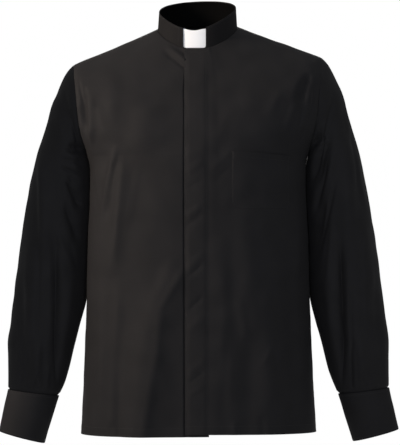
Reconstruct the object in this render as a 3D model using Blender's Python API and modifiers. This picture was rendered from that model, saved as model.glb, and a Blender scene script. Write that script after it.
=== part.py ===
"""A black clergy shirt, filled out as if worn, with its white collar tab.

Lengths are in millimetres up to the point where a mesh is made. The front faces -Y, up is +Z, and the
wearer's left is +X. The origin is the middle of the neck, level with the high point of the shoulders.
"""

from collections import namedtuple
from math import cos, hypot, pi, radians, sin

import bmesh
import bpy
import numpy as np
from mathutils import Matrix, Vector

MM = 0.001
NAME = "clergy_shirt"
DENSE = 241  # points of a row before its columns are spaced out along it

CLOTH = 1.2  # wall of the body, yoke and sleeves
COLLAR_CLOTH = 1.4
TAB_SHEET = 1.0
CUFF_CLOTH = 2.0
POCKET_CLOTH = 1.0
GAP = 0.3  # between pieces
FOLDED_SEAM = 1.7  # how far the sleeve stands off the body where the underarm seam folds back

# Body, from the hem up to the underarm: half width at the side seam, and how far the front and the back
# stand from the middle.
Level = namedtuple("Level", "z half front back")
BODY = (
    Level(-718, 206.0, 133, 124),
    Level(-660, 204.5, 132, 122),
    Level(-600, 203.0, 131, 119),
    Level(-484, 199.0, 129, 113),
    Level(-368, 195.0, 129, 110),
    Level(-300, 191.5, 130, 113),
    Level(-250, 191.0, 130, 118),
    Level(-238, 192.4, 130, 119),
    Level(-228, 195.0, 130, 120),
)

# Front edge of the armhole from the underarm to the shoulder tip, and the centre front at the same row.
# Round is how squarely the row turns at its outer end.
Edge = namedtuple("Edge", "x y z middle_y middle_z round")
FRONT_ARMHOLE = (
    Edge(195.0, 0, -228, -130.0, -228, 2.30),
    Edge(198.5, -22, -212, -129.0, -217, 2.05),
    Edge(205.0, -40, -190, -127.0, -201, 1.75),
    Edge(210.5, -50, -163, -123.0, -183, 1.50),
    Edge(213.0, -53, -138, -119.0, -168, 1.38),
    Edge(215.0, -50, -115, -114.5, -154, 1.30),
    Edge(217.0, -42, -94, -109.5, -141, 1.25),
    Edge(219.0, -29, -76, -105.0, -130, 1.22),
    Edge(220.0, -14, -61, -101.0, -120, 1.20),
)
BACK_ARMHOLE = (
    Edge(195.0, 0, -228, 120.0, -228, 2.30),
    Edge(197.0, 16, -216, 120.5, -217, 2.10),
    Edge(200.0, 32, -202, 121.0, -204, 1.90),
    Edge(201.5, 45, -185, 121.5, -188, 1.70),
    Edge(202.5, 53, -165, 122.0, -168, 1.58),
    Edge(203.5, 57, -142, 122.0, -145, 1.50),
    Edge(205.5, 57, -118, 121.0, -120, 1.46),
    Edge(208.0, 52, -95, 119.0, -95, 1.44),
)
Point = namedtuple("Point", "x y z")
SHOULDER_TIP = (
    Point(220.0, -14, -61),
    Point(221.5, 4, -57),
    Point(219.5, 22, -62),
    Point(214.5, 38, -76),
    Point(208.0, 52, -95),
)
# Centre front from the row of the shoulder tip up to the neckline.
CENTRE_FRONT = (
    Point(0, -101.0, -120),
    Point(0, -92.0, -99),
    Point(0, -82.0, -79),
    Point(0, -72.0, -59),
    Point(0, -62.4, -40.5),
)

# Neck, by the angle round it from the centre front: top of the collar, and the line where it meets the body.
Neck = namedtuple("Neck", "angle top base")
NECK = (
    Neck(-20, -0.5, -35.0),
    Neck(0, -3.5, -40.5),
    Neck(20, -0.5, -35.0),
    Neck(40, 7.0, -25.0),
    Neck(60, 17.0, -15.0),
    Neck(80, 27.0, -6.5),
    Neck(100, 36.0, -1.0),
    Neck(130, 45.0, 5.5),
    Neck(160, 49.3, 9.0),
    Neck(180, 50.0, 10.0),
    Neck(200, 49.3, 9.0),
)
NECK_WIDE = 67.75  # half the outer width of the collar at its base
NECK_DEEP = 60.0
NECK_MIDDLE_Y = -1.5
NECK_TAPER = 2.2  # the top of the collar is this much closer in
NECKLINE_CLEAR = 0.95
COLLAR_SLIT = -21.5  # angle of the slit in the collar, behind the tab's window
SLIT_HALF = 0.25
NECKBAND_FROM, NECKBAND_TO = -12.0, 366.0  # its ends overlap at the front
NECKBAND_LAP = 26.0
NECKBAND_TOP = 0.955
SEAM_ANGLE = 78.2  # where the front shoulder seam meets the neckline
COLLAR_TUCK = 4.0  # the collar runs on this far below the neckline

# The shirt leans a little to the wearer's right, and its left shoulder is higher.
LEAN_FOOT, LEAN_SIDE = 0.3, 2.3
LEAN_TOP, LEAN_TALL = -60.0, 330.0
SHOULDER_SLOPE = 0.02
SLOPE_FROM, SLOPE_OVER = -300.0, 200.0

# Yoke: how its lines run from neck to edge, by their place from the front seam (0) to the middle back (1).
# The first two bow the line out near the neck. Rise and square bring it up to the edge from above.
Bow = namedtuple("Bow", "at back up rise square")
YOKE_BOW = (
    Bow(0.00, 0, -2.5, 1.5, 0.0),
    Bow(0.12, 2, 1.0, 4.0, 0.15),
    Bow(0.25, 4, 7.0, 20.0, 0.55),
    Bow(0.45, 8, 15.0, 34.0, 0.90),
    Bow(0.70, 10, 24.0, 44.0, 1.0),
    Bow(1.00, 11, 29.0, 48.0, 1.0),
)
YOKE_CORNER_ANGLE = 112.0
YOKE_NEAR, YOKE_FAR = 0.35, 0.75  # where along a line its bows lie
YOKE_SLANT = 0.6
YOKE_SMOOTHING = 6
YOKE_EVEN_FROM, YOKE_EVEN_OVER = 0.16, 0.14  # the yoke is evened out behind the shoulder, not along its seam

# A row of the body: how flat it is across the middle, how late it drops to the armhole, how round its side is.
ROW_FLAT = 2.35
ROW_LIFT = 1.8
SIDE_ROUND = 2.3

# Sleeve: its outer and inner line seen from the front, half its depth, and the middle of that depth.
Station = namedtuple("Station", "outer_x outer_z inner_x inner_z half_deep middle_y")
SLEEVE = (
    Station(220, -61, 195.0, -228, 54.0, 2),
    Station(236, -77, 195.5, -234, 57.0, 6),
    Station(246, -93, 193.0, -243, 59.0, 11),
    Station(255, -114, 190.0, -253, 61.0, 15),
    Station(264, -146, 188.0, -263, 63.0, 17),
    Station(274, -182, 187.0, -275, 65.0, 18),
    Station(284, -217, 187.0, -291, 66.0, 18),
    Station(293, -253, 187.0, -311, 66.5, 18),
    Station(304, -306, 188.0, -346, 67.0, 18),
    Station(314, -368, 191.0, -390, 66.0, 18),
    Station(322, -425, 196.0, -438, 64.0, 16),
    Station(329, -484, 204.0, -489, 62.0, 12),
    Station(334, -525, 216.0, -525, 60.0, 8),
    Station(339, -561, 224.0, -561, 57.0, 5),
    Station(338, -591, 231.0, -593, 52.0, 2),
    Station(338, -624, 241.0, -630, 44.0, -1),
    Station(338, -641, 250.0, -652, 36.0, -2),
)
SLEEVE_OFF_BODY = 2.4  # the inside of the sleeve follows the body's side, this far from it
INNER_BACK = 12.0  # how far its inner side is pushed back by the body
INNER_FROM, INNER_OVER = 225.0, 35.0  # the points nearer to the body than this are pushed
SLEEVE_TUCK = 3.2  # the sleeve's end stands this far inside the cuff
SLEEVE_FOOT = 0.08  # and reaches this share of the cuff's length down
ARMHOLE_HOLD = 6  # rows over which the sleeve's ring leaves the armhole's own shape
# Rows of the sleeve by station, closer together lower down. The last is just above the cuff.
SLEEVE_ROWS = tuple(range(7)) + tuple(7 + 0.5 * k for k in range(17)) + (15.7,)
CUFF_FOOT = Station(354, -716, 275.0, -737, 33.0, -4)
CUFF_SPLIT = -70.0  # angle of the cuff's overlap, at the back
CUFF_LAP = 20.0
CUFF_COLUMNS = 37
CUFF_MEAN_RADIUS = 38.0
LAP_AT, LAP_OVER = 0.08, 0.06  # where round the cuff its ends step to lie over each other
PLACKET_ROWS = 9
PLACKET_COLUMNS = (16, 17)

FLY_EDGE = 27.0  # distance from the centre front, along the cloth, of the edge of the fly
# Columns of the left front, by distance from the centre front at a row REFERENCE long.
REFERENCE = 262.0
FLY_COLUMNS = (-27, -16, -4, 8, 18)
LEFT_COLUMNS = FLY_COLUMNS + (37, 60, 76.6, 93.1, 109.7, 126.3, 142.9, 159.4, 176, 193, 210, 227, 245, 262)
RIGHT_COLUMNS = (-18, -4, 12, 27, 45, 62, 79, 96, 113, 130, 147, 164, 181, 198, 215, 231, 247, 262)
# The fly stands off the body to leave room for its buttons.
Rise = namedtuple("Rise", "at high")
FLY_RISE_FROM, FLY_RISE_OVER = -42.0, 26.0  # it lies close at the collar and rises below
FLY_RISE = (
    Rise(-27, 1.65),
    Rise(-16, 3.4),
    Rise(-4, 3.7),
    Rise(8, 3.4),
    Rise(18, 2.4),
    Rise(37, 0.6),
    Rise(60, 0.0),
    Rise(262, 0.0),
)
BODY_ROWS = (-718, -703, -655, -605, -555, -505, -455, -410, -365, -320, -308, -282, -256, -240, -228)
ARMHOLE_ROWS = 9
NECK_ROWS = 5
BACK_ARMHOLE_ROWS = 8
TIP_COLUMNS = 4
BACK_HALF_COLUMNS = 12
VENT_TOP = -655
VENT_OPEN = 2.4

POCKET_FIRST_COLUMN = 6
POCKET_LAST_COLUMN = 13
POCKET_FIRST_ROW = 9
POCKET_LAST_ROW = 15
POCKET_GAPE = 1.6

BUTTON_WIDE = 11.0
BUTTON_THICK = 1.6
BUTTON_EDGE = 0.5
BUTTON_RIM = 1.4
BUTTON_SIDES = 14
HOLE_OUT = 1.5  # from the button's middle
HOLE_RADIUS = 0.8
FLY_BUTTON_Z = (-84, -184, -284, -384, -484, -584)

TAB_LEFT, TAB_RIGHT, TAB_FOOT = -28.5, 13.0, -37.0
TAB_CORNER = 4.0
TAB_REACH = 45.0  # angle that the tab reaches to each side
WINDOW_TALL, WINDOW_DEEP = 60.0, 40.0
BEHIND_TAB_FROM, BEHIND_TAB_OVER = 4.0, 14.0  # past the tab the neckband comes back to the collar

# Folds, from one end to the other as seen from the front or the back. Deep is outwards for a ridge and
# negative for a trough. Wide is half of its width.
Fold = namedtuple("Fold", "x0 z0 x1 z1 wide deep")
FOLD_STRENGTH = 1.35
FOLD_END = 0.3  # share of its length over which each end of a fold dies away
SEAM_CALM = 26.0  # folds die away this close to a seam
NECK_CALM_FROM, NECK_CALM_OVER = 80.0, 60.0  # and on rows this short, near the neck
YOKE_CALM = 0.3
FRONT_FOLDS = (
    Fold(-138, -200, -160, -330, 11, 3.5),
    Fold(-122, -215, -156, -470, 14, 4.5),
    Fold(-112, -470, -128, -760, 17, 5.0),
    Fold(-140, -530, -150, -760, 10, -4.5),
    Fold(-166, -430, -172, -760, 12, 3.5),
    Fold(-46, -380, -104, -770, 26, 6.5),
    Fold(-36, -450, -62, -770, 15, -4.5),
    Fold(-206, -95, -192, -190, 7, -3.5),
    Fold(-188, -110, -184, -205, 8, 3.0),
    Fold(-48, -36, -24, -62, 5, -2.0),
    Fold(-56, -45, -32, -74, 6, 2.0),
    Fold(-80, -120, -110, -230, 22, 2.5),
    Fold(198, -84, 174, -150, 7, -3.0),
    Fold(207, -110, 184, -196, 8, 3.0),
    Fold(64, -130, 24, -225, 11, 2.0),
    Fold(80, -340, 96, -560, 20, 2.5),
    Fold(120, -400, 132, -770, 22, 3.5),
    Fold(92, -520, 84, -770, 18, -3.0),
    Fold(160, -360, 168, -770, 14, -3.5),
    Fold(36, -330, 52, -770, 14, 2.5),
)
BACK_FOLDS = (
    Fold(-150, -120, -132, -420, 18, 4.0),
    Fold(-110, -110, -96, -520, 20, -3.5),
    Fold(-70, -360, -84, -770, 26, 5.5),
    Fold(-128, -460, -138, -770, 16, -4.5),
    Fold(-168, -420, -170, -770, 14, 4.0),
    Fold(-22, -140, -10, -480, 24, 2.5),
    Fold(6, -470, -14, -770, 22, -4.0),
    Fold(44, -380, 40, -770, 24, 5.0),
    Fold(88, -120, 92, -420, 20, -3.0),
    Fold(96, -480, 104, -770, 18, -4.5),
    Fold(150, -120, 128, -430, 18, 4.0),
    Fold(148, -450, 152, -770, 18, 5.0),
)
RIGHT_SLEEVE_FRONT_FOLDS = (
    Fold(-232, -206, -190, -217, 7, -4.5),
    Fold(-230, -255, -206, -330, 7, -4.0),
    Fold(-238, -300, -208, -392, 8, -4.0),
    Fold(-222, -225, -206, -290, 7, 2.5),
    Fold(-255, -340, -253, -640, 10, -5.0),
    Fold(-275, -190, -268, -430, 13, 4.5),
    Fold(-290, -330, -296, -560, 13, 3.0),
    Fold(-226, -430, -232, -600, 10, 3.0),
    Fold(-310, -430, -318, -650, 11, -3.0),
    Fold(-282, -540, -288, -660, 9, 3.5),
    Fold(-262, -100, -254, -190, 12, 2.5),
)
LEFT_SLEEVE_FRONT_FOLDS = (
    Fold(190, -215, 228, -196, 7, -4.5),
    Fold(246, -145, 206, -300, 9, -4.0),
    Fold(232, -240, 198, -410, 10, -4.0),
    Fold(240, -210, 214, -330, 9, 3.0),
    Fold(251, -340, 253, -640, 10, -5.0),
    Fold(266, -185, 266, -400, 14, 4.5),
    Fold(290, -300, 298, -540, 13, 3.0),
    Fold(228, -430, 234, -600, 10, 3.0),
    Fold(308, -430, 318, -650, 11, -3.0),
    Fold(284, -540, 290, -660, 9, 3.5),
    Fold(258, -96, 244, -180, 12, 2.5),
)
SLEEVE_BACK_FOLDS = (
    Fold(200, -214, 246, -186, 9, -4.0),
    Fold(252, -130, 214, -330, 12, -4.0),
    Fold(270, -150, 248, -360, 13, 4.0),
    Fold(222, -330, 244, -560, 13, -4.0),
    Fold(262, -380, 270, -650, 12, 4.0),
    Fold(296, -240, 306, -520, 13, -3.5),
    Fold(298, -560, 296, -665, 9, -3.5),
    Fold(322, -470, 326, -640, 9, 2.5),
)


def smooth(xs, ys, at):
    """A curve through the points of a table that never overshoots them."""
    xs = np.asarray(xs, float)
    ys = np.asarray(ys, float)
    at = np.clip(at, xs[0], xs[-1])
    steps = np.diff(xs)
    slopes = np.diff(ys) / steps
    tangents = np.zeros_like(ys)
    same_way = slopes[1:] * slopes[:-1] > 0
    first = 2 * steps[1:] + steps[:-1]
    second = steps[1:] + 2 * steps[:-1]
    with np.errstate(divide="ignore", invalid="ignore"):
        mean = (first + second) / (first / slopes[:-1] + second / slopes[1:])
    tangents[1:-1] = np.where(same_way, mean, 0)
    tangents[0] = slopes[0]
    tangents[-1] = slopes[-1]
    i = np.clip(np.searchsorted(xs, at, side="right") - 1, 0, len(steps) - 1)
    t = (at - xs[i]) / steps[i]
    rise = ys[i] * (2 * t**3 - 3 * t**2 + 1) + ys[i + 1] * (3 * t**2 - 2 * t**3)
    turn = tangents[i] * (t**3 - 2 * t**2 + t) + tangents[i + 1] * (t**3 - t**2)
    return rise + steps[i] * turn


def column(table, name, at, by=None):
    """One named column of a table, read between its rows: by another column, or by place from 0 to 1."""
    ys = [getattr(row, name) for row in table]
    xs = np.linspace(0, 1, len(table)) if by is None else [getattr(row, by) for row in table]
    return smooth(xs, ys, at)


def points_along(table, at):
    return np.stack([column(table, axis, at) for axis in "xyz"], axis=-1)


def ease(t):
    t = np.clip(t, 0, 1)
    return t * t * (3 - 2 * t)


def resample(curve, distances):
    """Points of a dense curve at distances along it, as fractions of its length."""
    steps = np.linalg.norm(np.diff(curve, axis=0), axis=1)
    lengths = np.concatenate([[0], np.cumsum(steps)])
    wanted = np.asarray(distances) * lengths[-1]
    return np.stack([np.interp(wanted, lengths, curve[:, k]) for k in range(3)], axis=-1)


def length_of(curve):
    return np.linalg.norm(np.diff(curve, axis=0), axis=1).sum()


def neck_point(angle, height=0.0, out=0.0):
    """A point on the outer face of the collar: angle in degrees, height from its base (0) to its top (1)."""
    turn = np.radians(angle)
    folded = np.abs((np.asarray(angle, float) + 180) % 360 - 180)
    base = column(NECK, "base", folded, by="angle")
    top = column(NECK, "top", folded, by="angle")
    taper = NECK_TAPER * np.clip(height, 0, 1)
    x = (NECK_WIDE - taper + out) * np.sin(turn)
    y = NECK_MIDDLE_Y - (NECK_DEEP - taper + out) * np.cos(turn)
    return np.stack([x, y, base + (top - base) * height], axis=-1)


def shoulder_seam(at):
    """The front shoulder seam, from the shoulder tip (0) to the neckline (1)."""
    return yoke_line(0.0, 1 - np.asarray(at))


def yoke_edge(place):
    """The outer edge of the yoke's left half: the armhole, then the back seam. Returns the point and the neck angle."""
    split = TIP_COLUMNS / (TIP_COLUMNS + BACK_HALF_COLUMNS)
    if place <= split:
        t = place / split
        return points_along(SHOULDER_TIP, t), SEAM_ANGLE + (YOKE_CORNER_ANGLE - SEAM_ANGLE) * t
    t = (place - split) / (1 - split)
    back_seam = back_row(2.0)
    return resample(back_seam[::-1], t), YOKE_CORNER_ANGLE + (180 - YOKE_CORNER_ANGLE) * t


def yoke_line(place, at):
    """A line of the yoke's left half, from the neckline (0) to its outer edge (1)."""
    end, angle = yoke_edge(place)
    start = neck_point(angle, 0.0, NECKLINE_CLEAR)
    run = end - start
    bow = Bow(place, *(column(YOKE_BOW, name, place, by="at") for name in Bow._fields[1:]))
    first = start + YOKE_NEAR * run + np.array([0, bow.back, bow.up])
    slanted = start + YOKE_FAR * run + np.array([0, 0, bow.rise * YOKE_SLANT])
    upright = end + np.array([0, 0, bow.rise])
    second = slanted + (upright - slanted) * bow.square
    t = np.asarray(at, float)[..., None]
    near = (1 - t) ** 3 * start + 3 * t * (1 - t) ** 2 * first
    return near + 3 * t**2 * (1 - t) * second + t**3 * end


def swept_row(edge, middle_y, middle_z, rounding):
    """A dense half row of the body, from its middle to its outer edge."""
    t = np.linspace(0, pi / 2, DENSE)
    x = np.sin(t) ** (2 / ROW_FLAT)
    away = (1 - x**ROW_FLAT) ** (1 / rounding)
    lift = x**ROW_LIFT
    return np.stack(
        [
            edge[0] * x,
            edge[1] + (middle_y - edge[1]) * away,
            middle_z + (edge[2] - middle_z) * lift,
        ],
        axis=-1,
    )


def body_row(z, side):
    """A level half row below the underarm. Side is front or back."""
    half = column(BODY, "half", z, by="z")
    depth = column(BODY, side, z, by="z")
    return swept_row((half, 0, z), depth if side == "back" else -depth, z, SIDE_ROUND)


def armhole_row(table, at):
    edge = points_along(table, at)
    return swept_row(
        edge,
        column(table, "middle_y", at),
        column(table, "middle_z", at),
        column(table, "round", at),
    )


def chest_row(at):
    """A half row above the shoulder tip's: a patch between that row, the neckline, the middle and the seam."""
    u = np.linspace(0, 1, DENSE)[:, None]
    low = resample(armhole_row(FRONT_ARMHOLE, 1.0), u[:, 0])
    high = resample(neck_point(np.linspace(0, SEAM_ANGLE, DENSE), 0.0, NECKLINE_CLEAR), u[:, 0])
    middle = points_along(CENTRE_FRONT, at) + at * (high[0] - points_along(CENTRE_FRONT, 1.0))
    outer = shoulder_seam(at)
    corners = (1 - u) * ((1 - at) * low[0] + at * high[0]) + u * ((1 - at) * low[-1] + at * high[-1])
    return (1 - at) * low + at * high + (1 - u) * middle + u * outer - corners


def front_row(level):
    """A dense half row of the front, by level: 0 hem, 1 underarm, 2 shoulder tip, 3 neckline."""
    if level <= 1:
        return body_row(BODY[0].z + (BODY[-1].z - BODY[0].z) * level, "front")
    if level <= 2:
        return armhole_row(FRONT_ARMHOLE, level - 1)
    return chest_row(level - 2)


def back_row(level):
    """The same for the back, whose level 2 is the yoke seam."""
    if level <= 1:
        return body_row(BODY[0].z + (BODY[-1].z - BODY[0].z) * level, "back")
    return armhole_row(BACK_ARMHOLE, level - 1)


def body_levels():
    return [(z - BODY[0].z) / (BODY[-1].z - BODY[0].z) for z in BODY_ROWS]


def front_levels():
    above = [1 + k / ARMHOLE_ROWS for k in range(1, ARMHOLE_ROWS + 1)]
    return body_levels() + above + [2 + k / NECK_ROWS for k in range(1, NECK_ROWS + 1)]


def back_levels():
    return body_levels() + [1 + k / BACK_ARMHOLE_ROWS for k in range(1, BACK_ARMHOLE_ROWS + 1)]


def column_distance(reference, length):
    """Where a column lies on a row of this length. The columns of the fly keep their distance from the middle."""
    fly = FLY_COLUMNS[-1]
    if abs(reference) <= FLY_EDGE and reference <= fly:
        return reference
    return fly + (reference - fly) * (length - fly) / (REFERENCE - fly)


def fold_depth(folds, x, z):
    """How far the folds move the cloth out at this place."""
    total = np.zeros_like(x)
    for fold in folds:
        run = np.array([fold.x1 - fold.x0, fold.z1 - fold.z0], float)
        length = np.hypot(*run)
        run /= length
        along = ((x - fold.x0) * run[0] + (z - fold.z0) * run[1]) / length
        across = (x - fold.x0) * run[1] - (z - fold.z0) * run[0]
        ends = ease(along / FOLD_END) * ease((1 - along) / FOLD_END)
        total += FOLD_STRENGTH * fold.deep * ends * np.exp(-((across / fold.wide) ** 2))
    return total


def own_normals(grid, around=False):
    """Unit normals of a grid of points, from its neighbours in each direction."""
    across = np.gradient(grid, axis=1)
    if around:
        across = np.roll(grid, -1, axis=1) - np.roll(grid, 1, axis=1)
    along = np.gradient(grid, axis=0)
    normal = np.cross(across, along)
    return normal / np.linalg.norm(normal, axis=-1, keepdims=True)


def faced_out(grid, middle, around=False):
    """Normals that point away from a middle point or line."""
    normal = own_normals(grid, around)
    return normal if (normal * (grid - middle)).sum() > 0 else -normal


def moved(grid, normals, distance):
    return grid + normals * np.asarray(distance)[..., None]


def lean(points):
    """The slight lean of the whole shirt, and the higher shoulder on the wearer's left."""
    out = points.copy()
    above_waist = np.clip(1 + (points[..., 2] - LEAN_TOP) / LEAN_TALL, -1, 1)
    out[..., 0] -= LEAN_FOOT + LEAN_SIDE * above_waist
    out[..., 2] += SHOULDER_SLOPE * points[..., 0] * ease((points[..., 2] - SLOPE_FROM) / SLOPE_OVER)
    return out


BODY_MIDDLE = np.array([0, 0, -300.0])


def half_front(references, side, folds):
    """A front as a grid of points from the middle to its outer edge. Side is 1 for the wearer's left."""
    rows = []
    fades = []
    for level in front_levels():
        half = front_row(level)
        length = length_of(half)
        distances = np.array([column_distance(r, length) for r in references])
        row = resample(half, np.abs(distances) / length)
        row[:, 0] *= np.where(distances < 0, -1, 1)
        rows.append(row)
        near_neck = ease((length - NECK_CALM_FROM) / NECK_CALM_OVER)
        fades.append(ease((length - distances) / SEAM_CALM) * near_neck)
    grid = np.array(rows)
    grid[..., 0] *= side
    normals = faced_out(grid, BODY_MIDDLE)
    depth = fold_depth(folds, grid[..., 0], grid[..., 2])
    return moved(grid, normals, depth * np.array(fades))


def front_left_grid():
    grid = half_front(LEFT_COLUMNS, 1, FRONT_FOLDS)
    high = np.interp(LEFT_COLUMNS, [row.at for row in FLY_RISE], [row.high for row in FLY_RISE])
    low = np.minimum(high, FLY_RISE[0].high)
    below_neck = ease((FLY_RISE_FROM - grid[:, :1, 2]) / FLY_RISE_OVER)
    return moved(grid, faced_out(grid, BODY_MIDDLE), low + (high - low) * below_neck)


def front_right_grid():
    return half_front(RIGHT_COLUMNS, -1, FRONT_FOLDS)


def back_grid():
    places = np.linspace(0, 1, BACK_HALF_COLUMNS + 1)
    rows = []
    fades = []
    for level in back_levels():
        half = back_row(level)
        left = resample(half[::-1], places)
        right = left[-2::-1] * np.array([-1, 1, 1])
        rows.append(np.concatenate([left, right]))
        length = length_of(half)
        fade = ease(places * length / SEAM_CALM) * ease((2 - level) / YOKE_CALM)
        fades.append(np.concatenate([fade, fade[-2::-1]]))
    grid = np.array(rows)
    depth = fold_depth(BACK_FOLDS, grid[..., 0], grid[..., 2])
    return moved(grid, faced_out(grid, BODY_MIDDLE), depth * np.array(fades))


def yoke_grid():
    """Columns from the left front seam over the back to the right one, rows from the outer edge to the neck."""
    count = TIP_COLUMNS + BACK_HALF_COLUMNS
    at = 1 - np.linspace(0, 1, NECK_ROWS + 1)
    left = np.stack([yoke_line(k / count, at) for k in range(count + 1)], axis=1)
    right = left[:, -2::-1] * np.array([-1, 1, 1])
    place = np.minimum(np.arange(2 * count + 1), np.arange(2 * count, -1, -1)) / count
    share = 0.5 * ease((place - YOKE_EVEN_FROM) / YOKE_EVEN_OVER)
    return evened(np.concatenate([left, right], axis=1), share, YOKE_SMOOTHING)


def evened(grid, share, times):
    """Evens out the inner points of a grid along its rows, each column by its own share, and keeps the edges."""
    grid = grid.copy()
    for _ in range(times):
        between = (grid[1:-1, :-2] + grid[1:-1, 2:]) / 2
        grid[1:-1, 1:-1] += (between - grid[1:-1, 1:-1]) * share[1:-1, None]
    return grid


def armhole_loop():
    """The left armhole, from the underarm up the front, over the tip and down the back."""
    front = points_along(FRONT_ARMHOLE, np.linspace(0, 1, ARMHOLE_ROWS + 1))
    tip = points_along(SHOULDER_TIP, np.linspace(0, 1, TIP_COLUMNS + 1))[1:]
    back = points_along(BACK_ARMHOLE, np.linspace(1, 0, BACK_ARMHOLE_ROWS + 1))[1:-1]
    return np.concatenate([front, tip, back])


def station_at(at):
    return Station(*(column(SLEEVE, name, at) for name in Station._fields))


def station_ring(station, angles, shrink=0.0):
    """A ring round the sleeve. Angle 0 is its outer side, 90 its front and 180 its inner side."""
    outer = np.array([station.outer_x, 0, station.outer_z], float)
    inner = np.array([station.inner_x, 0, station.inner_z], float)
    half = np.linalg.norm(outer - inner) / 2
    centre = (outer + inner) / 2 + np.array([0, station.middle_y, 0])
    towards = (outer - inner) / (2 * half)
    reach = (half - shrink) * np.cos(angles)[:, None] * towards
    return centre + reach + (station.half_deep - shrink) * np.sin(angles)[:, None] * np.array([0, -1, 0])


def clear_of_body(ring, row):
    """Keeps a ring of the left sleeve off the body's side, so that it lies along it and a little behind."""
    out = ring.copy()
    ring = ring.copy()
    near_body = ease((INNER_FROM - ring[:, 0]) / INNER_OVER) * ease(row / 2.5) * ease((13 - row) / 3)
    ring[:, 1] += INNER_BACK * near_body
    out[:, 1] = ring[:, 1]
    for k, (x, y, z) in enumerate(ring):
        if z > BODY[-1].z:
            continue
        side = body_row(max(z, BODY[0].z), "back" if y > 0 else "front")
        order = np.argsort(np.abs(side[:, 1]))
        limit = np.interp(abs(y), np.abs(side[order, 1]), side[order, 0]) + SLEEVE_OFF_BODY
        near = ease((BODY[-1].z - z) / 5)
        out[k, 0] = max(x, limit * near + x * (1 - near)) if x < limit else x
    return out


def sleeve_grid(side, front_folds, back_folds):
    last = len(SLEEVE) - 1
    loop = armhole_loop()
    first = station_at(0.0)
    centre = np.array([(first.outer_x + first.inner_x) / 2, first.middle_y, (first.outer_z + first.inner_z) / 2])
    away = loop - centre
    long_way = np.array([first.outer_x - first.inner_x, 0, first.outer_z - first.inner_z])
    half = hypot(*long_way) / 2
    cosine = away @ long_way / (2 * half * half)
    start = np.arctan2(-away[:, 1] / first.half_deep, cosine)
    start[0] = pi
    start = np.unwrap(start)
    even = pi - 2 * pi * np.arange(len(loop)) / len(loop)
    if abs(start[-1] - start[0]) < pi:
        start = even
    apart = loop - station_ring(first, start)
    rings = []
    for row in SLEEVE_ROWS:
        hold = (1 - min(row / ARMHOLE_HOLD, 1)) ** 2
        angles = even + (start - even) * hold
        rings.append(clear_of_body(station_ring(station_at(row / last), angles) + hold * apart, row))
    cuff_top = station_at(1.0)
    below = Station(*(a + (b - a) * SLEEVE_FOOT for a, b in zip(cuff_top, CUFF_FOOT)))
    rings.append(station_ring(cuff_top, even, SLEEVE_TUCK))
    rings.append(station_ring(below, even, SLEEVE_TUCK))
    grid = np.array(rings)
    grid[..., 0] *= side
    middle = grid.mean(axis=1, keepdims=True)
    normals = faced_out(grid, middle, around=True)
    facing = np.sin(even)[None, :]
    rows = np.array(SLEEVE_ROWS + (last, last))[:, None]
    fade = ease(rows / 1.6) * ease((last - 0.3 - rows) / 1.2)
    front = fold_depth(front_folds, grid[..., 0], grid[..., 2]) * ease(facing / 0.35)
    back = fold_depth(back_folds, grid[..., 0], grid[..., 2]) * ease(-facing / 0.35)
    inner = 1 - ease((np.cos(even)[None, :] * -1 - 0.55) / 0.3)
    return moved(grid, normals, (front + back) * fade * (0.25 + 0.75 * inner))


def mirrored_folds(folds):
    return tuple(fold._replace(x0=-fold.x0, x1=-fold.x1) for fold in folds)


def shared_normals(panels):
    """Normals of all panels, the same for every panel that meets at a seam point.

    Where the cloth folds back on itself there, as at the underarm, each panel keeps its own normal instead,
    and the second result says how far it does so, from 0 to 1.
    """
    totals = {}
    for grid, normals in panels:
        for key, normal in zip(np.round(grid.reshape(-1, 3), 2).tolist(), normals.reshape(-1, 3)):
            totals.setdefault(tuple(key), []).append(normal)
    result = []
    for grid, normals in panels:
        keys = np.round(grid.reshape(-1, 3), 2).tolist()
        mean = np.array([np.sum(totals[tuple(key)], axis=0) for key in keys]).reshape(grid.shape)
        mean /= np.linalg.norm(mean, axis=-1, keepdims=True)
        folded = ease((0.75 - (mean * normals).sum(axis=-1)) / 0.35)
        mixed = mean * (1 - folded[..., None]) + normals * folded[..., None]
        result.append((mixed / np.linalg.norm(mixed, axis=-1, keepdims=True), folded))
    return result


def border(rows, columns, around):
    """The edges of a grid as closed walks of (row, column), with the side that each step runs along."""
    if around:
        first = [((0, c), "first_row") for c in range(columns)]
        last = [((rows - 1, c), "last_row") for c in range(columns)]
        return [first, last]
    walk = [((0, c), "first_row") for c in range(columns - 1)]
    walk += [((r, columns - 1), "last_column") for r in range(rows - 1)]
    walk += [((rows - 1, c), "last_row") for c in range(columns - 1, 0, -1)]
    walk += [((r, 0), "first_column") for r in range(rows - 1, 0, -1)]
    return [walk]


def inset(grid, normals, amounts, around=False):
    """Moves the edges of a panel inwards, each side of the panel by its own amount."""
    result = grid.copy()
    rows, columns = grid.shape[:2]
    for walk in border(rows, columns, around):
        count = len(walk)
        for k, ((r, c), side) in enumerate(walk):
            before, side_before = walk[k - 1]
            after, _ = walk[(k + 1) % count]
            point = grid[r, c]
            pulls = []
            for end, name, sign in ((before, side_before, -1), (after, side, 1)):
                run = (grid[end] - point) * sign
                turn = np.cross(normals[r, c], run)
                turn /= np.linalg.norm(turn)
                amount = amounts.get(name, 0.0)
                pulls.append((turn, amount((r, c)) if callable(amount) else amount))
            result[r, c] += corner_move(grid, (r, c), pulls, around)
    return result


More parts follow.
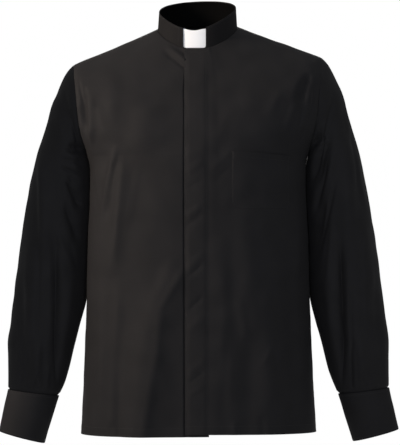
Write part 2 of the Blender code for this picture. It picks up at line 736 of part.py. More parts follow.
def corner_move(grid, place, pulls, around):
    """The move that takes a corner point in from both of its edges."""
    r, c = place
    rows, columns = grid.shape[:2]
    inner_r = min(max(r, 1), rows - 2)
    inner_c = c if around else min(max(c, 1), columns - 2)
    inwards = grid[inner_r, inner_c] - grid[r, c]
    (first, a), (second, b) = pulls
    first = first if first @ inwards > 0 else -first
    second = second if second @ inwards > 0 else -second
    both = first @ second
    if abs(both) > 0.98:
        return (first * a + second * b) / 2
    return (first * (a - b * both) + second * (b - a * both)) / (1 - both * both)


def cloth_wall(name, grid, normals, thick, material, around=False, dropped=()):
    """A closed wall round a grid of points, half of its thickness to each side."""
    rows, columns = grid.shape[:2]
    own = own_normals(grid, around)
    own *= np.sign((own * normals).sum())
    lean_in = np.clip((own * normals).sum(axis=-1, keepdims=True), 0.6, 1)
    half = normals * (thick / 2) / lean_in
    outer = (grid + half).reshape(-1, 3)
    inner = (grid - half).reshape(-1, 3)
    mesh = bmesh.new()
    tops = [mesh.verts.new(p * MM) for p in outer]
    lows = [mesh.verts.new(p * MM) for p in inner]
    reach = columns if around else columns - 1
    for r in range(rows - 1):
        for c in range(reach):
            d = (c + 1) % columns
            quad = [r * columns + c, r * columns + d, (r + 1) * columns + d, (r + 1) * columns + c]
            for corners in ((0, 1, 2), (0, 2, 3)) if not dropped else split_quad(quad, dropped):
                mesh.faces.new([tops[quad[i]] for i in corners])
                mesh.faces.new([lows[quad[i]] for i in reversed(corners)])
    close_rims(mesh, tops, lows)
    bmesh.ops.recalc_face_normals(mesh, faces=mesh.faces[:])
    return add_object(name, mesh, material)


def split_quad(quad, dropped):
    """The triangles of a quad, or the one that is left where a corner is dropped."""
    left = [k for k in range(4) if quad[k] not in dropped]
    return (tuple(left),) if len(left) == 3 else ((0, 1, 2), (0, 2, 3))


def close_rims(mesh, tops, lows):
    """Joins the open edges of the two faces of a wall, and clears away the points of a dropped corner."""
    partner = dict(zip(tops, lows))
    for edge in [e for e in mesh.edges if e.is_boundary and e.verts[0] in partner and e.verts[1] in partner]:
        a, b = edge.verts
        mesh.faces.new([a, b, partner[b], partner[a]])
        edge.smooth = False
        mesh.edges.get((partner[a], partner[b])).smooth = False
    for lone in [v for v in mesh.verts if not v.link_faces]:
        mesh.verts.remove(lone)


def add_object(name, mesh, material):
    data = bpy.data.meshes.new(name)
    mesh.to_mesh(data)
    mesh.free()
    data.polygons.foreach_set("use_smooth", [True] * len(data.polygons))
    data.materials.append(material)
    part = bpy.data.objects.new(name, data)
    bpy.data.collections[NAME].objects.link(part)
    return part


def new_material(name, colour, roughness):
    material = bpy.data.materials.new(name)
    material.use_nodes = True
    shader = material.node_tree.nodes["Principled BSDF"]
    shader.inputs["Base Color"].default_value = (*colour, 1)
    shader.inputs["Roughness"].default_value = roughness
    shader.inputs["Metallic"].default_value = 0.0
    return material


def cloth_material(name):
    return new_material(name, (0.018, 0.017, 0.018), 0.75)


def side_seam(place):
    """How far each side of the side seam is taken in. It stands open at the vent."""
    z = BODY_ROWS[place[0]] if place[0] < len(BODY_ROWS) else 0
    return GAP / 2 + VENT_OPEN * ease((VENT_TOP - z) / (VENT_TOP - BODY_ROWS[0]))


def body_panels():
    """Grids of the fronts, back, yoke and sleeves, with the normals that they share."""
    grids = {
        "front_left": front_left_grid(),
        "front_right": front_right_grid(),
        "back": back_grid(),
        "yoke": yoke_grid(),
        "sleeve_left": sleeve_grid(1, LEFT_SLEEVE_FRONT_FOLDS, SLEEVE_BACK_FOLDS),
        "sleeve_right": sleeve_grid(-1, RIGHT_SLEEVE_FRONT_FOLDS, mirrored_folds(SLEEVE_BACK_FOLDS)),
    }
    grids = {name: lean(grid) for name, grid in grids.items()}
    pairs = []
    for name, grid in grids.items():
        around = name.startswith("sleeve")
        middle = grid.mean(axis=1, keepdims=True) if around else BODY_MIDDLE
        pairs.append((grid, faced_out(grid, middle, around)))
    panels = {}
    for (name, grid), (_, own), (normals, folded) in zip(grids.items(), pairs, shared_normals(pairs)):
        if name.startswith("sleeve"):
            grid = moved(grid, own, -FOLDED_SEAM * folded)
        panels[name] = (grid, normals)
    return panels


def build_body(panels):
    seam = GAP / 2
    side = side_seam
    edges = {
        "front_left": {"last_column": side},
        "front_right": {"last_column": side},
        "back": {"first_column": side, "last_column": side, "last_row": seam},
        "yoke": {"first_row": seam, "first_column": seam, "last_column": seam},
        "sleeve_left": {"first_row": seam},
        "sleeve_right": {"first_row": seam},
    }
    for name, (grid, normals) in panels.items():
        around = name.startswith("sleeve")
        trimmed = inset(grid, normals, edges[name], around)
        cloth_wall(name, trimmed, normals, CLOTH, cloth_material(name), around)


def build_pocket(panels):
    """The pocket is the left front's own points, moved out, with its top edge sagging open."""
    grid, normals = panels["front_left"]
    columns = slice(POCKET_FIRST_COLUMN, POCKET_LAST_COLUMN + 1)
    rows = slice(POCKET_FIRST_ROW, POCKET_LAST_ROW + 1)
    patch = grid[rows, columns].copy()
    facing = normals[rows, columns]
    across = np.linspace(0, 1, patch.shape[1])
    droop = (0.15 + 0.75 * across)[:, None]
    patch[-1] += (patch[-2] - patch[-1]) * droop
    off = CLOTH / 2 + POCKET_CLOTH / 2 + GAP
    lift = np.full(patch.shape[:2], off)
    lift[-1] += POCKET_GAPE * np.sin(pi * across)
    lift[-2] += 0.5 * POCKET_GAPE * np.sin(pi * across)
    patch = moved(patch, facing, lift)
    last = patch.shape[1] - 1
    cloth_wall("pocket", patch, facing, POCKET_CLOTH, cloth_material("pocket"), dropped=(0, last))


def band(name, grid, thick, material):
    grid = lean(grid)
    middle = lean(np.array([[[0, NECK_MIDDLE_Y, 0]]]) * np.ones_like(grid))
    middle[..., 2] = grid[..., 2]
    return cloth_wall(name, grid, faced_out(grid, middle), thick, material)


def window_cutter():
    """A block with two rounded lower corners, as wide as the tab's window."""
    wide = TAB_RIGHT - TAB_LEFT
    mesh = bmesh.new()
    bmesh.ops.create_cube(mesh, size=1.0)
    bmesh.ops.scale(mesh, vec=(wide * MM, WINDOW_DEEP * MM, WINDOW_TALL * MM), verts=mesh.verts[:])
    place = ((TAB_LEFT + TAB_RIGHT) / 2, NECK_MIDDLE_Y - NECK_DEEP, TAB_FOOT + WINDOW_TALL / 2)
    bmesh.ops.translate(mesh, vec=Vector(place) * MM, verts=mesh.verts[:])
    foot = [e for e in mesh.edges if all(v.co.z < (TAB_FOOT + 1) * MM for v in e.verts)]
    lower = [e for e in foot if abs(e.verts[0].co.x - e.verts[1].co.x) < 1e-6]
    bmesh.ops.bevel(mesh, geom=lower, offset=TAB_CORNER * MM, segments=4, profile=0.5, affect="EDGES")
    return add_cutter("tab_window", mesh)


def add_cutter(name, mesh):
    data = bpy.data.meshes.new(name)
    mesh.to_mesh(data)
    mesh.free()
    cutter = bpy.data.objects.new(name, data)
    cutter.hide_render = True
    cutter.display_type = "WIRE"
    bpy.data.collections["cutters"].objects.link(cutter)
    return cutter


def cut_with(part, cutter):
    cut = part.modifiers.new(cutter.name, "BOOLEAN")
    cut.operation = "DIFFERENCE"
    cut.solver = "EXACT"
    cut.object = cutter


def tuck_height(angles):
    """How far below the base, as a share of the collar's height, its lower edge lies."""
    folded = np.abs((angles + 180) % 360 - 180)
    tall = column(NECK, "top", folded, by="angle") - column(NECK, "base", folded, by="angle")
    return -COLLAR_TUCK / tall


def build_collar():
    angles = np.linspace(COLLAR_SLIT + SLIT_HALF, 360 + COLLAR_SLIT - SLIT_HALF, 45)
    low = tuck_height(angles)
    grid = np.array([neck_point(angles, low + (1 - low) * k / 2, -COLLAR_CLOTH / 2) for k in range(3)])
    collar = band("collar", grid, COLLAR_CLOTH, cloth_material("collar"))
    cut_with(collar, window_cutter())


def band_depth(angles):
    """The neckband stands further in behind the tab and lies against the collar elsewhere."""
    folded = np.abs((angles + 180) % 360 - 180)
    behind_tab = 1 - ease((folded - TAB_REACH - BEHIND_TAB_FROM) / BEHIND_TAB_OVER)
    close = COLLAR_CLOTH + GAP + COLLAR_CLOTH / 2
    return -(close + (TAB_SHEET + GAP) * behind_tab)


def build_neckband():
    angles = np.linspace(NECKBAND_FROM, NECKBAND_TO, 47)
    low = tuck_height(angles)
    under_lap = 1 - ease((angles - NECKBAND_FROM) / NECKBAND_LAP)
    out = band_depth(angles) - (COLLAR_CLOTH + GAP) * under_lap
    grid = np.array([neck_point(angles, low + (NECKBAND_TOP - low) * k / 2, out) for k in range(3)])
    band("neckband", grid, COLLAR_CLOTH, cloth_material("neckband"))


def build_tab():
    angles = np.linspace(-TAB_REACH, TAB_REACH, 19)
    out = -(COLLAR_CLOTH + GAP + TAB_SHEET / 2)
    grid = np.array([neck_point(angles, -0.06 + 1.06 * k / 4, out) for k in range(5)])
    paper_white = new_material("collar_tab", (0.86, 0.86, 0.84), 0.45)
    band("collar_tab", grid, TAB_SHEET, paper_white)


def build_cuff(name, side):
    """A stiff band round the wrist whose ends overlap at the back, with the lap outside."""
    top = station_at(1.0)
    turn = np.linspace(0, 1, CUFF_COLUMNS)
    lap_angle = CUFF_LAP / CUFF_MEAN_RADIUS
    angles = radians(CUFF_SPLIT) + lap_angle / 2 - (2 * pi + lap_angle) * turn
    over = ease((turn - 1 + LAP_AT + LAP_OVER) / LAP_OVER)
    under = 1 - ease((turn - LAP_AT) / LAP_OVER)
    out = (CUFF_CLOTH + GAP) / 2 * (over - under)
    rows = []
    for k in range(4):
        t = k / 3
        station = Station(*(a + (b - a) * t for a, b in zip(top, CUFF_FOOT)))
        ring = station_ring(station, angles)
        rows.append(ring + out[:, None] * ring_outwards(station, angles))
    grid = np.array(rows)
    grid[..., 0] *= side
    grid = lean(grid)
    normals = faced_out(grid, grid[:, :-2].mean(axis=1, keepdims=True))
    cloth_wall(name, grid, normals, CUFF_CLOTH, cloth_material(name))
    return grid, normals


def ring_outwards(station, angles):
    """Unit vectors that point out of a ring of the sleeve."""
    wide = np.hypot(station.outer_x - station.inner_x, station.outer_z - station.inner_z) / 2
    towards = np.array([station.outer_x - station.inner_x, 0, station.outer_z - station.inner_z]) / (2 * wide)
    out = np.cos(angles)[:, None] / wide * towards
    out = out + np.sin(angles)[:, None] / station.half_deep * np.array([0, -1, 0])
    return out / np.linalg.norm(out, axis=1, keepdims=True)


def build_button(name, centre, facing, holes):
    """A round shirt button with a raised rim: a turned profile, with its back on the cloth."""
    half = BUTTON_WIDE / 2
    dish = BUTTON_THICK - BUTTON_EDGE
    profile = (
        (0.0, dish),
        (half - BUTTON_RIM - BUTTON_EDGE, dish),
        (half - BUTTON_RIM, BUTTON_THICK),
        (half - BUTTON_EDGE, BUTTON_THICK),
        (half, BUTTON_THICK / 2),
        (half - BUTTON_EDGE, 0.0),
        (0.0, 0.0),
    )
    mesh = bmesh.new()
    points = [mesh.verts.new((radius * MM, 0, high * MM)) for radius, high in profile]
    for a, b in zip(points, points[1:]):
        mesh.edges.new([a, b])
    button = add_object(name, mesh, new_material(name, (0.02, 0.02, 0.022), 0.3))
    turned = button.modifiers.new("turned", "SCREW")
    turned.steps = BUTTON_SIDES
    turned.render_steps = BUTTON_SIDES
    turned.use_merge_vertices = True
    turned.merge_threshold = 0.00001
    place = placed_facing(centre, facing)
    button.matrix_world = place
    for k in range(holes):
        turn = pi / 4 + k * pi / 2
        cutter = hole_cutter(f"{name}_hole_{k + 1}")
        cutter.matrix_world = place @ Matrix.Translation((HOLE_OUT * cos(turn) * MM, HOLE_OUT * sin(turn) * MM, 0))
        cut_with(button, cutter)


def placed_facing(centre, facing):
    """A place and turn that take the Z axis to the way that a piece faces, with Y as near to up as it can be."""
    facing = Vector(facing).normalized()
    side = Vector((0, 0, 1)).cross(facing).normalized()
    turn = Matrix((side, facing.cross(side), facing)).transposed()
    return Matrix.Translation(Vector(centre) * MM) @ turn.to_4x4()


def hole_cutter(name):
    mesh = bmesh.new()
    radius = HOLE_RADIUS * MM
    bmesh.ops.create_cone(
        mesh, cap_ends=True, segments=8, radius1=radius, radius2=radius, depth=4 * BUTTON_THICK * MM
    )
    return add_cutter(name, mesh)


def build_fly_buttons(panels):
    """Buttons on the under placket, hidden by the fly."""
    grid, normals = panels["front_right"]
    at = RIGHT_COLUMNS.index(-4)
    for k, z in enumerate(FLY_BUTTON_Z):
        line = grid[:, at]
        order = np.argsort(line[:, 2])
        centre = np.array([np.interp(z, line[order, 2], line[order, i]) for i in range(3)])
        facing = np.array([np.interp(z, line[order, 2], normals[order, at, i]) for i in range(3)])
        facing /= np.linalg.norm(facing)
        build_button(f"fly_button_{k + 1}", centre + facing * (CLOTH / 2 + GAP), facing, 0)


def build_cuffs():
    for side, word in ((1, "left"), (-1, "right")):
        grid, normals = build_cuff(f"cuff_{word}", side)
        centre = (grid[1, -2] + grid[2, -2]) / 2
        facing = (normals[1, -2] + normals[2, -2]) / 2
        facing /= np.linalg.norm(facing)
        off = CUFF_CLOTH / 2 + GAP
        build_button(f"cuff_button_{word}", centre + facing * off, facing, 4)


def build_sleeve_plackets(panels):
    """A plain strip over the slit above each cuff, made from the sleeve's own points."""
    for word in ("left", "right"):
        grid, normals = panels[f"sleeve_{word}"]
        last = len(SLEEVE_ROWS)
        patch = grid[last - PLACKET_ROWS : last][:, PLACKET_COLUMNS]
        facing = normals[last - PLACKET_ROWS : last][:, PLACKET_COLUMNS]
        patch = moved(patch, facing, np.full(patch.shape[:2], CLOTH + GAP))
        cloth_wall(f"sleeve_placket_{word}", patch, facing, CLOTH, cloth_material(f"sleeve_placket_{word}"))


def clear_scene():
    for old in list(bpy.data.objects):
        bpy.data.objects.remove(old)
    for name in (NAME, "cutters"):
        group = bpy.data.collections.new(name)
        bpy.context.scene.collection.children.link(group)


def main():
    clear_scene()
    panels = body_panels()
    build_body(panels)
    build_pocket(panels)
    build_collar()
    build_neckband()
    build_tab()
    build_cuffs()
    build_sleeve_plackets(panels)
    build_fly_buttons(panels)


main()
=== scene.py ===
"""Looks of a black clergy shirt: fine cloth with its folds, seams and stitches.

The cloth follows the photo's outlines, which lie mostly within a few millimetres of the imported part's.
Lengths are in millimetres up to the point where a mesh is made, in the part's frame: the front faces -Y, up
is +Z and the wearer's left is +X.
"""

from collections import namedtuple
from functools import lru_cache
from math import atan, degrees, pi, radians

import bmesh
import bpy
import numpy as np
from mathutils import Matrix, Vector, noise


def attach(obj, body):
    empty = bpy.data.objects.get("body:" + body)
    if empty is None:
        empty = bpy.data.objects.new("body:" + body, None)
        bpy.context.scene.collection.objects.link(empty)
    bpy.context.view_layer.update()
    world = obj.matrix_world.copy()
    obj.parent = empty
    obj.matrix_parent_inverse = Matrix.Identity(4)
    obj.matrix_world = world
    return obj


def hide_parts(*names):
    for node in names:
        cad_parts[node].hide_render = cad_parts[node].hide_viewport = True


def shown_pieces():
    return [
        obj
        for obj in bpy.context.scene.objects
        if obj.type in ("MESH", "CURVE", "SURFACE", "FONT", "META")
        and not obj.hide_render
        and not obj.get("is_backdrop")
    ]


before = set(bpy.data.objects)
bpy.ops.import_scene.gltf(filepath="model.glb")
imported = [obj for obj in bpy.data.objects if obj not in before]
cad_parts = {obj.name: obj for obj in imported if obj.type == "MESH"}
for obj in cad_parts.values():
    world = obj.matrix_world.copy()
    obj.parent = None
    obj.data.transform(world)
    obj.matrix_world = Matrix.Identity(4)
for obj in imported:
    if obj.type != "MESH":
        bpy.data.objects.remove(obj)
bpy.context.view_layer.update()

MM = 0.001
DENSE = 241  # points of a row before its columns are spaced out along it

CLOTH = 1.2  # wall of the solids, whose outer face the cloth keeps
COLLAR_CLOTH = 1.4
TAB_SHEET = 1.0
CUFF_CLOTH = 2.0
GAP = 0.3  # between pieces
FOLDED_SEAM = 0.7  # how far the sleeve stands off the body where the underarm seam folds back

# Body, from the hem up to the underarm: half width at the side seam, and how far the front and the back
# stand from the middle.
Level = namedtuple("Level", "z half front back")
BODY = (
    Level(-719, 208.5, 133, 124),
    Level(-660, 205.3, 132, 122),
    Level(-600, 202.3, 131, 119),
    Level(-484, 198.0, 129, 113),
    Level(-368, 195.0, 129, 110),
    Level(-300, 191.5, 130, 113),
    Level(-250, 191.0, 130, 118),
    Level(-238, 192.4, 130, 119),
    Level(-228, 195.0, 130, 120),
)

# Front edge of the armhole from the underarm to the shoulder tip, and the centre front at the same row.
# Round is how squarely the row turns at its outer end.
Edge = namedtuple("Edge", "x y z middle_y middle_z round")
FRONT_ARMHOLE = (
    Edge(195.0, 0, -228, -130.0, -228, 2.30),
    Edge(198.5, -22, -212, -129.0, -217, 2.05),
    Edge(205.0, -40, -190, -127.0, -201, 1.75),
    Edge(210.5, -50, -163, -123.0, -183, 1.50),
    Edge(213.0, -53, -138, -119.0, -168, 1.38),
    Edge(215.0, -50, -115, -114.5, -154, 1.30),
    Edge(217.0, -42, -95, -109.5, -141, 1.25),
    Edge(219.0, -29, -78, -105.0, -130, 1.22),
    Edge(220.0, -14, -63.5, -101.0, -120, 1.20),
)
BACK_ARMHOLE = (
    Edge(195.0, 0, -228, 120.0, -228, 2.30),
    Edge(197.0, 16, -216, 120.5, -217, 2.10),
    Edge(200.0, 32, -202, 121.0, -204, 1.90),
    Edge(201.5, 45, -185, 121.5, -188, 1.70),
    Edge(202.5, 53, -165, 122.0, -168, 1.58),
    Edge(203.5, 57, -142, 122.0, -145, 1.50),
    Edge(205.5, 57, -118, 121.0, -120, 1.46),
    Edge(208.0, 52, -95, 119.0, -95, 1.44),
)
Point = namedtuple("Point", "x y z")
SHOULDER_TIP = (
    Point(220.0, -14, -63.5),
    Point(221.0, 4, -60),
    Point(218.5, 22, -65),
    Point(214.0, 38, -78),
    Point(208.0, 52, -95),
)
# Centre front from the row of the shoulder tip up to the neckline.
CENTRE_FRONT = (
    Point(0, -101.0, -120),
    Point(0, -92.0, -99),
    Point(0, -82.0, -79),
    Point(0, -72.0, -59),
    Point(0, -62.4, -42.5),
)

# Neck, by the angle round it from the centre front: top of the collar, and the line where it meets the body.
Neck = namedtuple("Neck", "angle top base")
NECK = (
    Neck(-20, -1.3, -37.5),
    Neck(0, -6.5, -42.5),
    Neck(20, -1.3, -37.5),
    Neck(40, 8.6, -27.5),
    Neck(60, 19.6, -15.5),
    Neck(80, 28.3, -5.0),
    Neck(100, 36.5, 0.5),
    Neck(130, 45.5, 6.0),
    Neck(160, 50.3, 9.2),
    Neck(180, 51.2, 10.0),
    Neck(200, 50.3, 9.2),
)
TOP_TURN = -4.5  # the collar's top is lowest at this angle
NECK_WIDE = 70.6  # half the outer width of the collar at its base
NECK_DEEP = 60.0
NECK_MIDDLE_Y = -1.5
NECK_TAPER = 2.2  # the top of the collar is this much closer in
NECKLINE_CLEAR = 0.95
COLLAR_SLIT = -21.5  # angle of the slit in the collar, behind the tab's window
SLIT_HALF = 0.25
NECKBAND_FROM, NECKBAND_TO = -12.0, 366.0  # its ends overlap at the front
NECKBAND_LAP = 26.0
NECKBAND_TOP = 0.955
SEAM_ANGLE = 78.2  # where the front shoulder seam meets the neckline
COLLAR_TUCK = 4.0  # the collar runs on this far below the neckline

# The shirt leans a little to the wearer's right, and its left shoulder is higher.
LEAN_FOOT, LEAN_SIDE = 1.6, 1.0
LEAN_TOP, LEAN_TALL = -60.0, 330.0
SHOULDER_SLOPE = 0.03
SLOPE_FROM, SLOPE_OVER = -300.0, 200.0
HEM_SLOPE = 0.008  # its hem is higher on that side too
HEM_LIFT = 4.0  # and the left front hangs this much less far down at the fly
HEM_FROM, HEM_OVER = -440.0, 260.0

# Yoke: how its lines run from neck to edge, by their place from the front seam (0) to the middle back (1).
# The first two bow the line out near the neck. Rise and square bring it up to the edge from above.
Bow = namedtuple("Bow", "at back up rise square")
YOKE_BOW = (
    Bow(0.00, 0, -2.5, 1.5, 0.0),
    Bow(0.12, 2, 1.0, 4.0, 0.15),
    Bow(0.25, 4, 7.0, 20.0, 0.55),
    Bow(0.45, 8, 15.0, 34.0, 0.90),
    Bow(0.70, 10, 24.0, 44.0, 1.0),
    Bow(1.00, 11, 29.0, 48.0, 1.0),
)
YOKE_CORNER_ANGLE = 112.0
YOKE_NEAR, YOKE_FAR = 0.35, 0.75  # where along a line its bows lie
YOKE_SLANT = 0.6
YOKE_SMOOTHING = 270
YOKE_EVEN_FROM, YOKE_EVEN_OVER = 0.16, 0.14  # the yoke is evened out behind the shoulder, not along its seam

# A row of the body: how flat its middle is, how late it drops to the armhole, and how round its side is.
ROW_FLAT = 2.35
ROW_LIFT = 1.8
SIDE_ROUND = 2.3

# Sleeve: its outer and inner line seen from the front, half its depth, and the middle of that depth.
Station = namedtuple("Station", "outer_x outer_z inner_x inner_z half_deep middle_y")
SLEEVE = (
    Station(220, -63.5, 195.0, -228, 54.0, 2),
    Station(232.5, -77, 195.5, -234, 57.0, 6),
    Station(242.5, -93, 193.0, -243, 59.0, 11),
    Station(251.5, -114, 190.0, -253, 61.0, 15),
    Station(262, -146, 188.0, -263, 63.0, 17),
    Station(274, -182, 187.0, -275, 65.0, 18),
    Station(284.7, -217, 187.0, -291, 66.0, 18),
    Station(293.7, -253, 187.0, -311, 66.5, 18),
    Station(304.6, -306, 188.0, -346, 67.0, 18),
    Station(314.4, -368, 191.0, -390, 66.0, 18),
    Station(322, -425, 195.0, -438, 64.0, 16),
    Station(329, -484, 201.5, -489, 62.0, 12),
    Station(334, -525, 210.5, -525, 60.0, 8),
    Station(339, -561, 220.0, -561, 57.0, 5),
    Station(338, -591, 227.5, -593, 52.0, 2),
    Station(338, -624, 239.0, -630, 44.0, -1),
    Station(338, -641, 249.0, -652, 36.0, -2),
)
SLEEVE_LAST = len(SLEEVE) - 1
SLEEVE_OFF_BODY = 2.4  # its inner side follows the body's side, this far from it
UNDERARM_OVER = 5.0  # and comes to lie there within this height of the underarm
INNER_BACK = 12.0  # how far its inner side is pushed back by the body
INNER_FROM, INNER_OVER = 225.0, 35.0  # the points nearer to the body than this are pushed
INNER_ROWS_IN, INNER_ROW_LAST, INNER_ROWS_OUT = 2.5, 13, 3  # stations over which the push comes and goes
SLEEVE_TUCK = 3.2  # the sleeve's end stands this far inside the cuff
SLEEVE_FOOT = 0.08  # and reaches this share of the cuff's length down
ARMHOLE_HOLD = 6  # rows over which the sleeve's ring leaves the armhole's own shape
# Rows of the sleeve by station. The last is just above the cuff.
SLEEVE_ROWS = tuple(np.linspace(0, 15.7, 190))
CUFF_FOOT = Station(354.5, -715, 275.0, -736, 33.0, -4)
CUFF_SPLIT = -70.0  # angle of the cuff's overlap, at the back
CUFF_LAP = 20.0
CUFF_COLUMNS = 181
CUFF_ROWS = 28
CUFF_MEAN_RADIUS = 38.0
LAP_AT, LAP_OVER = 0.08, 0.06  # where round the cuff its ends step to lie over each other

FLY_EDGE = 23.4  # distance from the centre front, along the cloth, of the edge of the fly
# Columns of the fronts, by distance from the centre front at a row REFERENCE long.
REFERENCE = 262.0
FLY_LAST = 18.0
LEFT_COLUMNS = (*np.linspace(-FLY_EDGE, FLY_LAST, 30), *np.linspace(FLY_LAST, REFERENCE, 84)[1:])
RIGHT_COLUMNS = (*np.linspace(-18, 15, 10), *np.linspace(16, 31, 26), *np.linspace(31, REFERENCE, 84)[1:])
# The fly stands off the body to leave room for its buttons.
Rise = namedtuple("Rise", "at high")
FLY_RISE_FROM, FLY_RISE_OVER = -42.0, 26.0  # it lies close at the collar and rises below
FLY_RISE = (
    Rise(-23.4, 1.65),
    Rise(-14, 3.4),
    Rise(-3, 3.7),
    Rise(8, 3.4),
    Rise(18, 2.4),
    Rise(37, 0.6),
    Rise(60, 0.0),
    Rise(262, 0.0),
)
BODY_ROWS = tuple(np.linspace(-719, -240, 150)) + tuple(np.linspace(-240, -228, 7)[1:])
ARMHOLE_ROWS = 72
NECK_ROWS = 28
BACK_ARMHOLE_ROWS = 64
TIP_COLUMNS = 32
BACK_HALF_COLUMNS = 76
VENT_TOP = -655
VENT_OPEN = 2.4

TAB_LEFT, TAB_RIGHT, TAB_FOOT = -27.4, 12.0, -38.6
TAB_CORNER = 4.0
TAB_REACH = 45.0  # angle that the tab reaches to each side
WINDOW_TALL, WINDOW_DEEP = 60.0, 40.0
BEHIND_TAB_FROM, BEHIND_TAB_OVER = 4.0, 14.0  # past the tab the neckband comes back to the collar

# Folds as seen from the front or the back: x and z of one end, x and z of the other, half its width, and its
# depth, which is outwards for a ridge and negative for a trough.
FOLD_STRENGTH = 1.35
FOLD_END = 0.3  # share of its length over which each end of a fold dies away
SEAM_CALM = 26.0  # folds die away this close to a seam
NECK_CALM_FROM, NECK_CALM_OVER = 80.0, 60.0  # and on rows this short, near the neck
YOKE_CALM = 0.3
FOLD_TURN = 0.35  # folds of the sleeve's front and back die away where it turns to the side, by its sine
INNER_SIDE_FROM, INNER_SIDE_OVER = 0.55, 0.3  # and weaken on its inner side, by its cosine,
INNER_SIDE_FOLDS = 0.25  # to this share
Calm = namedtuple("Calm", "start end over")  # stations at the sleeve's ends that have no folds
SLEEVE_CALM = Calm(1.6, 0.3, 1.2)
FINE_SLEEVE_CALM = Calm(0.5, 0.1, 0.6)
FRONT_FOLDS = (
    (-138, -200, -160, -330, 11, 3.5), (-122, -215, -156, -470, 14, 4.5), (-98, -470, -140, -820, 40, 2.5),
    (-140, -530, -140, -780, 11, -3.5), (-166, -430, -172, -760, 12, 3.0), (-18, -415, -80, -545, 20, 4.0),
    (-57, -480, -113, -810, 32, 6.5), (-206, -95, -192, -190, 7, -3.5), (-188, -110, -184, -205, 8, 3.0),
    (-80, -120, -110, -230, 22, 2.5), (198, -84, 174, -150, 7, -3.0), (207, -110, 184, -196, 8, 3.0),
    (64, -130, 24, -225, 11, 0.8), (80, -340, 96, -560, 20, 2.0), (120, -400, 132, -770, 22, 2.6),
    (92, -520, 84, -770, 18, -2.2), (160, -360, 168, -770, 14, -2.6), (36, -330, 52, -770, 14, 1.8),
)
BACK_FOLDS = (
    (-150, -120, -132, -420, 18, 4.0), (-110, -110, -96, -520, 20, -3.5), (-70, -360, -84, -770, 26, 5.5),
    (-128, -460, -138, -770, 16, -4.5), (-168, -420, -170, -770, 14, 4.0), (-22, -140, -10, -480, 24, 2.5),
    (6, -470, -14, -770, 22, -4.0), (44, -380, 40, -770, 24, 5.0), (88, -120, 92, -420, 20, -3.0),
    (96, -480, 104, -770, 18, -4.5), (150, -120, 128, -430, 18, 4.0), (148, -450, 152, -770, 18, 5.0),
)
RIGHT_SLEEVE_FRONT_FOLDS = (
    (-232, -206, -190, -217, 7, -4.5), (-230, -255, -206, -330, 7, -4.0), (-238, -300, -208, -392, 8, -4.0),
    (-222, -225, -206, -290, 7, 2.5), (-255, -340, -253, -640, 10, -5.0), (-275, -190, -268, -430, 13, 4.5),
    (-290, -330, -296, -560, 13, 3.0), (-226, -430, -232, -600, 10, 3.0),
    (-310, -430, -318, -650, 11, -3.0), (-282, -540, -288, -660, 9, 3.5), (-262, -100, -254, -190, 12, 2.5),
)
LEFT_SLEEVE_FRONT_FOLDS = (
    (190, -215, 228, -196, 7, -4.5), (246, -145, 206, -300, 9, -4.0), (232, -240, 198, -410, 10, -4.0),
    (240, -210, 214, -330, 9, 3.0), (251, -340, 253, -640, 10, -5.0), (266, -185, 266, -400, 14, 4.5),
    (290, -300, 298, -540, 13, 3.0), (228, -430, 234, -600, 10, 3.0), (308, -430, 318, -650, 11, -3.0),
    (284, -540, 290, -660, 9, 3.5), (258, -96, 244, -180, 12, 2.5),
)
SLEEVE_BACK_FOLDS = (
    (200, -214, 246, -186, 9, -4.0), (252, -130, 214, -330, 12, -4.0), (270, -150, 248, -360, 13, 4.0),
    (222, -330, 244, -560, 13, -4.0), (262, -380, 270, -650, 12, 4.0), (296, -240, 306, -520, 13, -3.5),
    (298, -560, 296, -665, 9, -3.5), (322, -470, 326, -640, 9, 2.5),
)

SIDES = ("first_row", "last_row", "first_column", "last_column")
FORWARDS = np.array([0, -1, 0])
EDGE_LOOPS = (0.4, 1.0, 2.0)  # extra lines of points this far from a panel's edges
LOOP_SHARE = 0.9  # but never further than this share of the first step inwards
STEEPEST = 0.6  # slanting cloth keeps its thickness down to this cosine
EDGE_ROUND = 0.8  # how round the edges of the thicker pieces are
NEARLY_STRAIGHT = 0.98
FOLDED_FROM, FOLDED_OVER = 0.75, 0.35  # cosine below which a seam counts as folded back
ROLL, ROLL_WIDE = 0.6, 0.9  # how far an edge rolls under at a seam
OUTER = CLOTH / 2  # the cloth's faces, from the middle of its solid
INNER = 0.15
HEM_INNER = -0.45
RUMPLE, RUMPLE_SIZE = 1.3, 34.0  # a faint unevenness all over
RUMPLE_CALM = 6  # points at an edge over which it dies away
BODY_MIDDLE = np.array([0, 0, -300.0])
FURROW, FURROW_WIDE = 2.2, 2.0  # in the right front, under the edge of the fly
FURROW_FROM, FURROW_OVER = 12.0, 9.0
Pucker = namedtuple("Pucker", "deep reach wave")
SEAM_PUCKER = Pucker(0.35, 9.0, 7.0)
POCKET_PUCKER = Pucker(0.3, 7.0, 6.0)
CUFF_PUCKER = Pucker(0.25, 6.0, 6.0)
PUCKER_SLANT, PUCKER_PEAK = 0.5, 3.0  # its waves slant, and are highest this far from the seam
HEM_WAVE_DEEP, HEM_WAVE, HEM_SLANT, HEM_SEED = 0.45, 5.5, 0.7, 3.7
HEM_WAVE_IN = 4.0  # they come in over this from the hem's edge,
HEM_WAVE_PAST, HEM_WAVE_OUT = 5.0, 7.0  # are gone this far past its stitches, and take this long to go
SWELL, SWELL_AT, SWELL_WIDE = 0.25, 2.4, 1.2  # of the cloth beside a line of stitches
